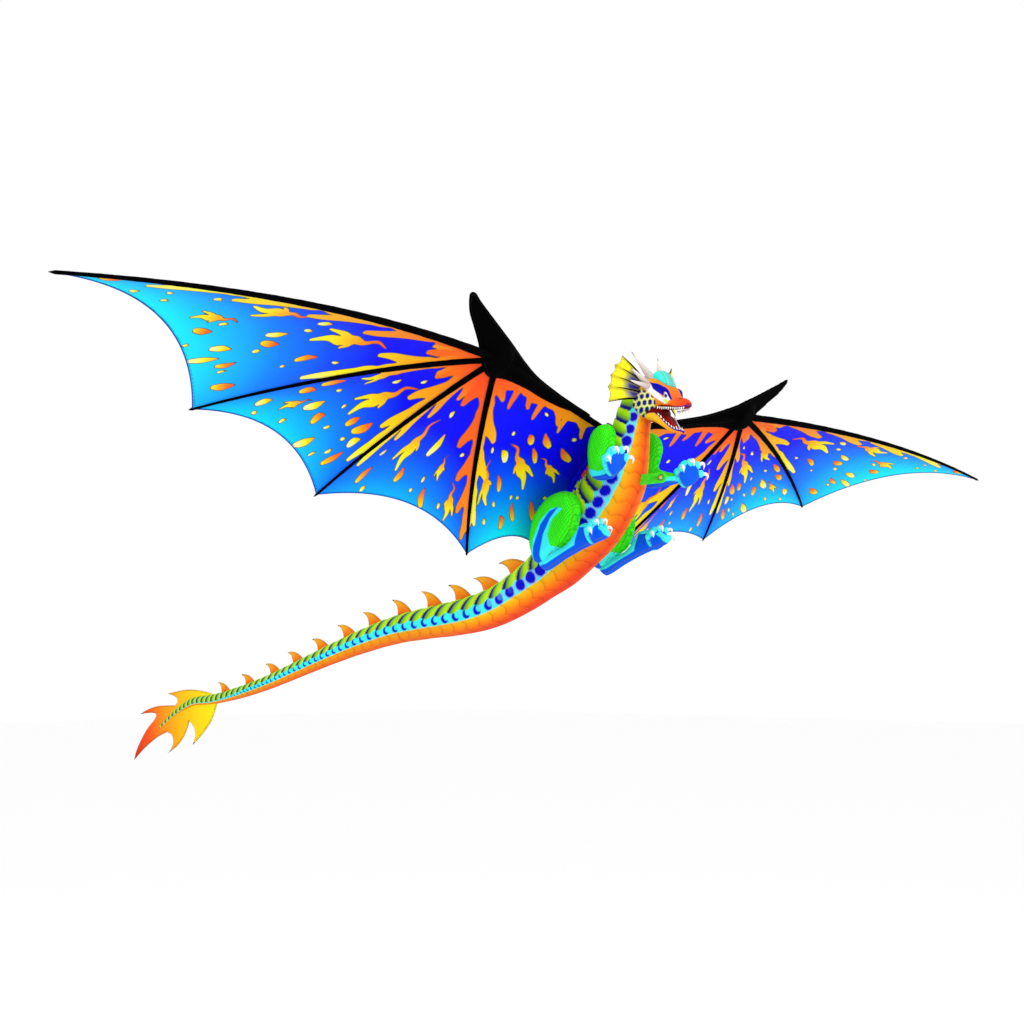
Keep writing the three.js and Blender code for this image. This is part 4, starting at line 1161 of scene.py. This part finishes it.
def build_mouth():
    """Teeth in both jaws, a tongue, and the dark lining at the corner of the mouth."""
    made = []
    for sign in (1, -1):
        for k, y in enumerate(np.linspace(-12, -44.5, 13)):
            low, _, half = section(SKULL, y * MM)
            tall = 2.2 + 0.9 * (k % 3 == 2) + (2.2 if k == 11 else 0)
            base = np.array([sign * (half / MM - 2.4 - 0.05 * k), y, low / MM + 1.0])
            tip = base + np.array([sign * 0.3, 1.0, -tall - 1.0])
            made.append(tooth(base, tip, 1.25, 0.85, "head"))
    join(made, "upper_teeth")
    made = []
    for sign in (1, -1):
        for k, y in enumerate(np.linspace(-10, -35, 9)):
            high = np.interp(y * MM, JAW[::-1, 0], JAW[::-1, 2])
            half = np.interp(y * MM, JAW[::-1, 0], JAW[::-1, 3])
            tall = 2.0 + 0.9 * (k % 3 == 1) + (1.4 if k == 7 else 0)
            base = np.array([sign * (half / MM - 2.4), y, high / MM - 1.4])
            tip = base + np.array([sign * 0.4, 1.2, tall + 1.4])
            made.append(tooth(base, tip, 1.2, 0.8, "lower_jaw"))
    join(made, "lower_teeth")
    tongue = [(0, 4, 88), (0, -6, 86), (0, -14, 79), (0, -23, 70.5), (0, -30, 66.5)]
    solid_tube("tongue", tongue, [9, 10, 8.5, 6, 1.5], (0, 0.4, 1), "print", "lower_jaw", "body_nylon",
               [(0, srgb(110, 0, 0)), (1, srgb(170, 20, 20))], squash=0.35)
    lining = [(0, 14, 90), (0, 5, 91), (0, -4, 91.5), (0, -10, 91)]
    made = solid_tube("mouth_lining", lining, [18, 21, 18, 5], (0, 0.05, 1), "print", None, "body_nylon",
                      [(0, MOUTH_RED), (1, srgb(90, 0, 0))], squash=0.55, sides=40)
    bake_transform(made)


build_mouth()


HORNS = {  # the horns of the left side, from base to tip, with the base's radius
    "crown_horn_skin": ([(12, 4, 138), (16, 12, 150), (23, 20, 165), (31, 28, 180)], 6.0),
    "side_horn": ([(24, 5, 131), (33, 8, 138), (42, 11, 145), (51, 15, 152)], 4.8),
    "rear_horn": ([(26, 0, 126), (38, 3, 128), (50, 6, 130), (61, 10, 133)], 4.0),
}


def build_horns():
    pale = [(0.0, srgb(196, 176, 170)), (0.5, srgb(224, 210, 202)), (0.85, srgb(242, 236, 224)),
            (1.0, srgb(120, 110, 105))]
    for side, sign in SIDES.items():
        for name, (path, r) in HORNS.items():
            radii = [r, r * 0.82, r * 0.5, 0.4]
            made = solid_tube("%s_%s" % (name, side), mirror(path, sign), radii, (1, 0.2, 0.1), "bone",
                              "head", "horn_nylon", pale)
            if name == "crown_horn_skin":
                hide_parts("crown_horn_" + side)


build_horns()


def build_crown():
    """The soft teal crest between the horns."""
    outline = catmull(np.array([(24, 137), (25, 146), (18, 150), (9, 148), (0, 153), (-9, 151), (-16, 143),
                                (-21, 128), (-12, 128), (6, 134)]) * MM, 90, closed=True)
    place = lambda p, h: np.column_stack([h, p])
    points, faces, flat, _, rim = stuffed_shape(outline, 34 * MM, 10 * MM, 1.6 * MM, place)
    paint = np.broadcast_to(CREST_TEAL, (len(flat), 3))
    paint = over(paint, srgb(130, 160, 150), 0.8 * (1 - step(rim, 1 * MM, 1 * MM)))
    made = piece("crown_crest", points, faces, "seamed", "head", "body_nylon", paint=paint,
                 cloth=np.column_stack([flat, rim]))


build_crown()


def face_point(y, z):
    """The point of the left cheek's surface at a place on the side print."""
    flat = SKULL_POINTS.reshape(-1, 3)
    flat = flat[flat[:, 0] > 6 * MM]
    side = flat[:, 1] - SLANT * (0.026 - flat[:, 0])
    return flat[np.argmin(np.hypot(side - y * MM, flat[:, 2] - z * MM))] / MM


def build_eyes():
    """Raised padded brows, with a glossy domed pupil under each."""
    for side, sign in SIDES.items():
        brow = [face_point(*p) for p in ((-2, 131), (-12, 127.5), (-22, 123.5), (-31, 119), (-37, 112))]
        solid_tube("brow_" + side, mirror(brow, sign), [0.8, 2.4, 3.0, 2.6, 0.6], (0, 0.4, 1), "print",
                   "head", "body_nylon", [(0, EYE_BLUE), (1, EYE_BLUE)], squash=0.9)
        x, y, z = face_point(-28.5, 111.5)
        dome = mirror([(x - 1.0, y, z), (x + 0.4, y - 0.4, z), (x + 1.0, y - 0.6, z)], sign)
        solid_tube("pupil_" + side, dome, [2.3, 1.9, 0.5], (0, 0.4, 1), "pupil", "head", "horn_nylon",
                   squash=1.2, count=10)


build_eyes()

EAR_RIBS = [(29, 42), (41, 28), (48, 13), (52, -4), (51, -25)]  # tips of the frill's ribs, in its plane
EAR_ROOT = [(-2.5, 15), (-1, 9), (0.5, 1), (3, -7), (8, -17)]


def build_ear(side):
    sign = SIDES[side]
    right = unit(np.array([0.92 * sign, 0.39, 0]))
    up = np.array([0, 0, 1.0])
    origin = np.array([sign * 32, 12, 127]) * MM
    tips = np.array(EAR_RIBS, float) * MM
    roots = np.array(EAR_ROOT, float) * MM
    rim_points = []
    for a, b in zip(tips, tips[1:]):
        dip = (a + b) / 2 - unit((a + b) / 2) * 3.2 * MM
        rim_points += [a, *catmull(np.array([a, dip, b]), 9)[1:-1]]
    outline = np.vstack([[roots[0]], rim_points, [tips[-1]], [roots[-1]], roots[-2:0:-1]])
    place = plane(origin, right, up)
    points, faces, flat, _, rim = stuffed_shape(outline, 1.6 * MM, 2 * MM, 1.4 * MM, place)
    out = np.linalg.norm(flat, axis=1)
    # The frill is yellow, with painted shade that turns it navy towards its root at the head.
    paint = ramp(out, [(0.010, srgb(20, 20, 120)), (0.018, srgb(60, 60, 140)), (0.026, srgb(190, 190, 90)),
                       (0.031, srgb(255, 238, 30)), (0.045, srgb(255, 240, 40))])
    for root, tip in zip(roots, tips):
        away, _ = segment_distance(flat, root, tip)
        paint = over(paint, srgb(150, 140, 20), 0.5 * (1 - step(away, 2.6 * MM, 2 * MM)))
    paint = over(paint, srgb(120, 110, 20), 0.8 * (1 - step(rim, 0.5 * MM, 0.5 * MM)))
    made = piece("frill_" + side, points, faces, "seamed", "ear_" + side, "frill_nylon", paint=paint,
                 cloth=np.column_stack([flat, rim]))
    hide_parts("ear_frill_" + side)
    for k, (root, tip) in enumerate(zip(roots, tips)):
        bend = (root + tip) / 2 + np.array([0, 1.2 * MM])
        line = place(np.array([root, bend, tip]), np.zeros(3)) / MM
        solid_tube("frill_rib_%d_%s" % (k + 1, side), line, [1.5, 1.1, 0.5], (0, 0.1, 1), "black",
                   "ear_" + side, "frill_nylon", sides=10, count=16)


for ear_side in SIDES:
    build_ear(ear_side)


# ---------- legs ----------
def green_scales(p):
    """Bright green skin with a darker net of small scales."""
    pitch = 3.6 * MM
    a = (p[:, 0] * 0.8 + p[:, 1] * 0.6) / pitch
    b = (p[:, 0] * -0.6 + p[:, 1] * 0.8) / (pitch * 0.8)
    b = b + 0.5 * (np.floor(a) % 2)
    net = np.minimum(np.abs(a - np.round(a)), np.abs(b - np.round(b)))
    return over(np.broadcast_to(SCALE_GREEN, (len(p), 3)), SCALE_DARK, 1 - step(net, 0.16, 0.14))


def side_leg(name, body, sign, outline, middle_x, thickness, painter, replaced, tilt, splay):
    """A stuffed leg whose two printed panels lie in side view. tilt leans its foot outwards, and splay
    turns its front outwards from a third of the way along."""
    outline = catmull(np.array(outline, float) * MM, 110, closed=True)
    bend_at = outline[:, 0].min() + np.ptp(outline[:, 0]) / 2.6
    lean = lambda p: (middle_x * MM + tilt * (p[:, 1] - outline[:, 1].mean())
                      + splay * np.maximum(bend_at - p[:, 0], 0))
    place = lambda p, h: np.column_stack([sign * (lean(p) + h), p])
    points, faces, flat, _, rim = stuffed_shape(outline, thickness * MM, 15 * MM, 1.3 * MM, place)
    paint = painter(flat)
    made = piece(name, points, faces if sign < 0 else [tuple(reversed(f)) for f in faces], "seamed", body,
                 "leg_nylon", paint=paint, cloth=np.column_stack([flat, rim]))
    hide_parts(replaced)
    return made


def fore_print(p):
    paint = green_scales(p)
    forearm = np.array([(75, 12), (58, 7), (40, 9), (26, 10), (14, 14), (14, -14), (60, -14),
                        (80, -4)], float) * MM
    paint = over(paint, STRIPE_CYAN, patch(p, forearm, 2 * MM))
    under = np.array([(78, 1), (56, 1), (30, 4), (14, 3), (14, -16), (60, -16), (80, -8)], float) * MM
    return over(paint, PAW_BLUE, patch(p, under, 1.5 * MM))


def hind_print(p):
    paint = green_scales(p)
    shank = np.array([(117, -41), (138, -40), (158, -55), (172, -84), (178, -124), (120, -124), (118, -98),
                      (139, -94), (144, -76), (136, -56)], float) * MM
    paint = over(paint, STRIPE_CYAN, patch(p, shank, 1.5 * MM))
    stripe = np.array([(124, -38), (142, -44), (158, -62), (170, -92), (174, -124), (158, -124), (158, -104),
                       (152, -76), (140, -54)], float) * MM
    return over(paint, PAW_BLUE, patch(p, stripe, 1.2 * MM))


def foot_print(p):
    paint = np.broadcast_to(STRIPE_CYAN, (len(p), 3))
    sole = np.array([(180, -124), (150, -119), (122, -106), (96, -95), (88, -70), (58, -72), (48, -78),
                     (40, -90), (60, -100), (100, -118), (150, -140)], float) * MM
    return over(paint, PAW_BLUE, patch(p, sole, 1.2 * MM))


FORE_LEG = [(80, 66), (66, 76), (52, 75), (43, 64), (42, 48), (47, 34), (50, 25), (38, 18), (24, 14), (20, 8),
            (25, 1), (44, -4), (66, -4), (79, 4), (84, 24), (86, 46)]
HIND_LEG = [(124, -15), (109, -22), (101, -42), (104, -66), (116, -88), (130, -97), (142, -106), (158, -118),
            (174, -116), (183, -100), (187, -80), (180, -48), (160, -25), (140, -16)]
FOOT = [(168, -116), (160, -127), (150, -127), (122, -114), (94, -103), (66, -94), (44, -87), (42, -78),
        (58, -67), (88, -65), (99, -76), (116, -92), (134, -99), (152, -106)]


PAW_WIDTH = 1.25  # how much wider than tall a spread paw is


def paw(body, side, centre, size, right, up):
    """A blue palm with four cyan toes round its upper rim, each with a curled white claw."""
    sign = SIDES[side]
    right = mirror(unit(np.array(right, float)), sign)
    up = unit(np.array(up, float)) * np.array([sign, 1, 1])
    centre = mirror(centre, sign) * MM
    forward = np.cross(right, up) * sign
    a = np.linspace(0, 2 * math.pi, 90, endpoint=False)
    wrist = 1 - 0.42 * np.clip(-np.sin(a), 0, 1) ** 1.5
    lobes = 1 + 0.09 * np.cos(6.4 * (a - math.pi / 2) + math.pi) * (np.sin(a) > -0.2)
    edge = size * MM * np.column_stack([PAW_WIDTH * np.cos(a) * wrist, np.sin(a)]) * lobes[:, None]
    place = lambda p, h: centre + p[:, :1] * right + p[:, 1:2] * up + h[:, None] * forward
    points, faces, flat, which, rim = stuffed_shape(edge, size * 0.8 * MM, size * 0.7 * MM, 1.6 * MM, place)
    paint = over(np.broadcast_to(PAW_BLUE, (len(flat), 3)), STRIPE_CYAN, step(-which, 0, 0.1))
    toe_line = (4.2 - 2.4 * step(-flat[:, 1], 0, 8 * MM)) * MM
    paint = over(paint, STRIPE_CYAN, 1 - step(rim, toe_line, 0.8 * MM))
    limb = body.split("_")[0]
    palm = piece("palm_%s_%s" % (limb, side), points, faces, "seamed", body, slot="paw_nylon", paint=paint,
                 cloth=np.column_stack([flat, rim]))
    toes, claws = [], []
    for angle in np.radians([12, 58, 104, 150]):
        way = right * PAW_WIDTH * math.cos(angle) + up * math.sin(angle)
        spot = lambda out, ahead, down=0.0: (centre / MM + (way * out + forward * ahead - up * down) * size)
        path = [spot(0.66, 0.12), spot(0.86, 0.22), spot(1.02, 0.26), spot(1.1, 0.34)]
        radii = [0.20 * size, 0.27 * size, 0.26 * size, 0.12 * size]
        toes.append(solid_tube("toe", path, radii, tuple(forward + 0.01), "print", body, "paw_nylon",
                               [(0, STRIPE_CYAN), (1, srgb(110, 240, 245))], count=16, squash=0.85))
        path = [spot(1.0, 0.34), spot(1.16, 0.50), spot(1.20, 0.66, 0.14), spot(1.12, 0.74, 0.38)]
        radii = [0.13 * size, 0.12 * size, 0.08 * size, 0.2]
        claws.append(solid_tube("claw", path, radii, tuple(up + 0.01), "enamel", body, "horn_nylon",
                                sides=12, count=16))
    join(toes, "toes_%s_%s" % (limb, side))
    join(claws, "claws_%s_%s" % (limb, side))
    return palm


# Name, body and CAD node of each limb, then its outline, distance from the middle plane, thickness, print,
# tilt and splay.
LIMBS = [
    ("fore_leg_skin_", "front_leg_", "fore_leg_", FORE_LEG, 57, 26, fore_print, -0.1, 0.6),
    ("hind_leg_skin_", "rear_leg_", "hind_leg_", HIND_LEG, 65, 32, hind_print, -0.05, 0.0),
    ("foot_skin_", "rear_paw_", "hind_paw_", FOOT, 69, 22, foot_print, 0.0, 0.0),
]


def build_legs(side):
    sign = SIDES[side]
    for name, body, replaced, outline, middle_x, thickness, painter, tilt, splay in LIMBS:
        made = side_leg(name + side, body + side, sign, outline, middle_x, thickness, painter,
                        replaced + side, tilt, splay)
    fore = paw("front_paw_" + side, side, (87, 18, 15), 20.5, (1, -0.1, 0), (0, -0.3, 0.95))
    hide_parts("fore_paw_" + side)
    paw("rear_paw_" + side, side, (73, 64, -78), 18, (1, -0.1, 0), (0, -0.3, 0.95))


for leg_side in SIDES:
    build_legs(leg_side)


# ---------- tow tab ----------
TAB_INTO_CHEST = 31 * MM  # how much longer the strap is than the CAD tab, which stops short of the belly


def build_tow_tab():
    """The webbing strap that the flying line clips on, from a round end about the eyelet to the chest."""
    hole = middle("tow_eyelet")
    low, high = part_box("tow_tab")
    half, end = (high[0] - low[0]) / 2, (high[2] - low[2]) / 2
    length = high[1] - hole[1] + TAB_INTO_CHEST
    bore = np.ptp(node_points("tow_eyelet")[:, 2]) / 2 + 0.1 * MM
    a = np.linspace(-math.pi, math.pi, 96, endpoint=False)
    strip = np.minimum(end / np.maximum(np.abs(np.sin(a)), 1e-6), length / np.maximum(np.cos(a), 1e-6))
    rim = np.where(np.cos(a) > 0, np.minimum(strip, 10 * length), end)
    layers = [(0.0, half), (0.5, half), (0.94, half), (1.0, half * 0.6), (1.0, -half * 0.6), (0.94, -half),
              (0.5, -half), (0.0, -half)]
    rings = []
    for share, height in layers:
        reach = bore + (rim - bore) * share
        rings.append(np.column_stack([hole[0] + np.full(len(a), height), hole[1] + reach * np.cos(a),
                                      hole[2] + reach * np.sin(a)]))
    points = np.concatenate(rings)
    faces = grid_faces(len(layers), len(a), wrap=True)
    closing = [(len(points) - len(a) + k, len(points) - len(a) + (k + 1) % len(a), (k + 1) % len(a), k)
               for k in range(len(a))]
    made = piece("tow_strap", points, [*faces, *closing], "tab", "torso", "body_nylon")
    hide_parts("tow_tab")


build_tow_tab()


# ---------- carried-over CAD nodes ----------
def dress(name, material):
    """Gives a CAD node that keeps its shape its own material."""
    for material_slot in frame["nodes"][name].material_slots:
        material_slot.material = MATERIALS[material]


for node_name in frame["nodes"]:
    if "_rod" in node_name:
        dress(node_name, "fibreglass")
    elif node_name.startswith("wrist_hub") or node_name == "shoulder_fitting":
        dress(node_name, "vinyl")
dress("tow_eyelet", "brass")


# ---------- floor, light and camera ----------
def build_stage():
    bpy.ops.mesh.primitive_plane_add(size=60, location=(0, 0, -1.5))
    floor = bpy.context.object
    floor.name = "floor"
    n = Nodes("floor_white")
    n.shader.inputs["Base Color"].default_value = (0.98, 0.98, 0.98, 1)
    n.shader.inputs["Roughness"].default_value = 0.9
    floor.data.materials.append(n.material)
    world = bpy.data.worlds.new("studio")
    bpy.context.scene.world = world
    world.use_nodes = True
    world.node_tree.nodes["Background"].inputs[0].default_value = (1, 1, 1, 1)
    world.node_tree.nodes["Background"].inputs[1].default_value = 1.0
    for name, at, size, power in (("key", (-2.4, -2.6, 1.9), 2.0, 55), ("fill", (2.2, -2.2, 0.4), 2.5, 14)):
        light = bpy.data.lights.new(name, "AREA")
        light.size = size
        light.energy = power
        lamp = bpy.data.objects.new(name, light)
        lamp.location = at
        aim = Vector((0, 0.35, -0.05)) - Vector(at)
        lamp.rotation_mode = "QUATERNION"
        lamp.rotation_quaternion = aim.to_track_quat("-Z", "Y")
        bpy.context.scene.collection.objects.link(lamp)


CAMERA_AT = (-1.614, -1.187, -0.269)
CAMERA_AZIMUTH = math.radians(-47.6)
CAMERA_TILT = math.radians(-6.3)


def build_camera():
    camera = bpy.data.objects.new("camera", bpy.data.cameras.new("camera"))
    camera.data.lens = 50
    camera.data.sensor_width = 36
    camera.data.clip_start = 0.05
    camera.data.clip_end = 200
    camera.location = CAMERA_AT
    back = Vector((math.sin(CAMERA_AZIMUTH) * math.cos(CAMERA_TILT),
                   -math.cos(CAMERA_AZIMUTH) * math.cos(CAMERA_TILT), math.sin(CAMERA_TILT)))
    camera.rotation_mode = "QUATERNION"
    camera.rotation_quaternion = (-back).to_track_quat("-Z", "Y")
    bpy.context.scene.collection.objects.link(camera)
    bpy.context.scene.camera = camera


build_stage()
build_camera()
view = bpy.context.scene.view_settings
view.view_transform = "Standard"
view.look = "None"
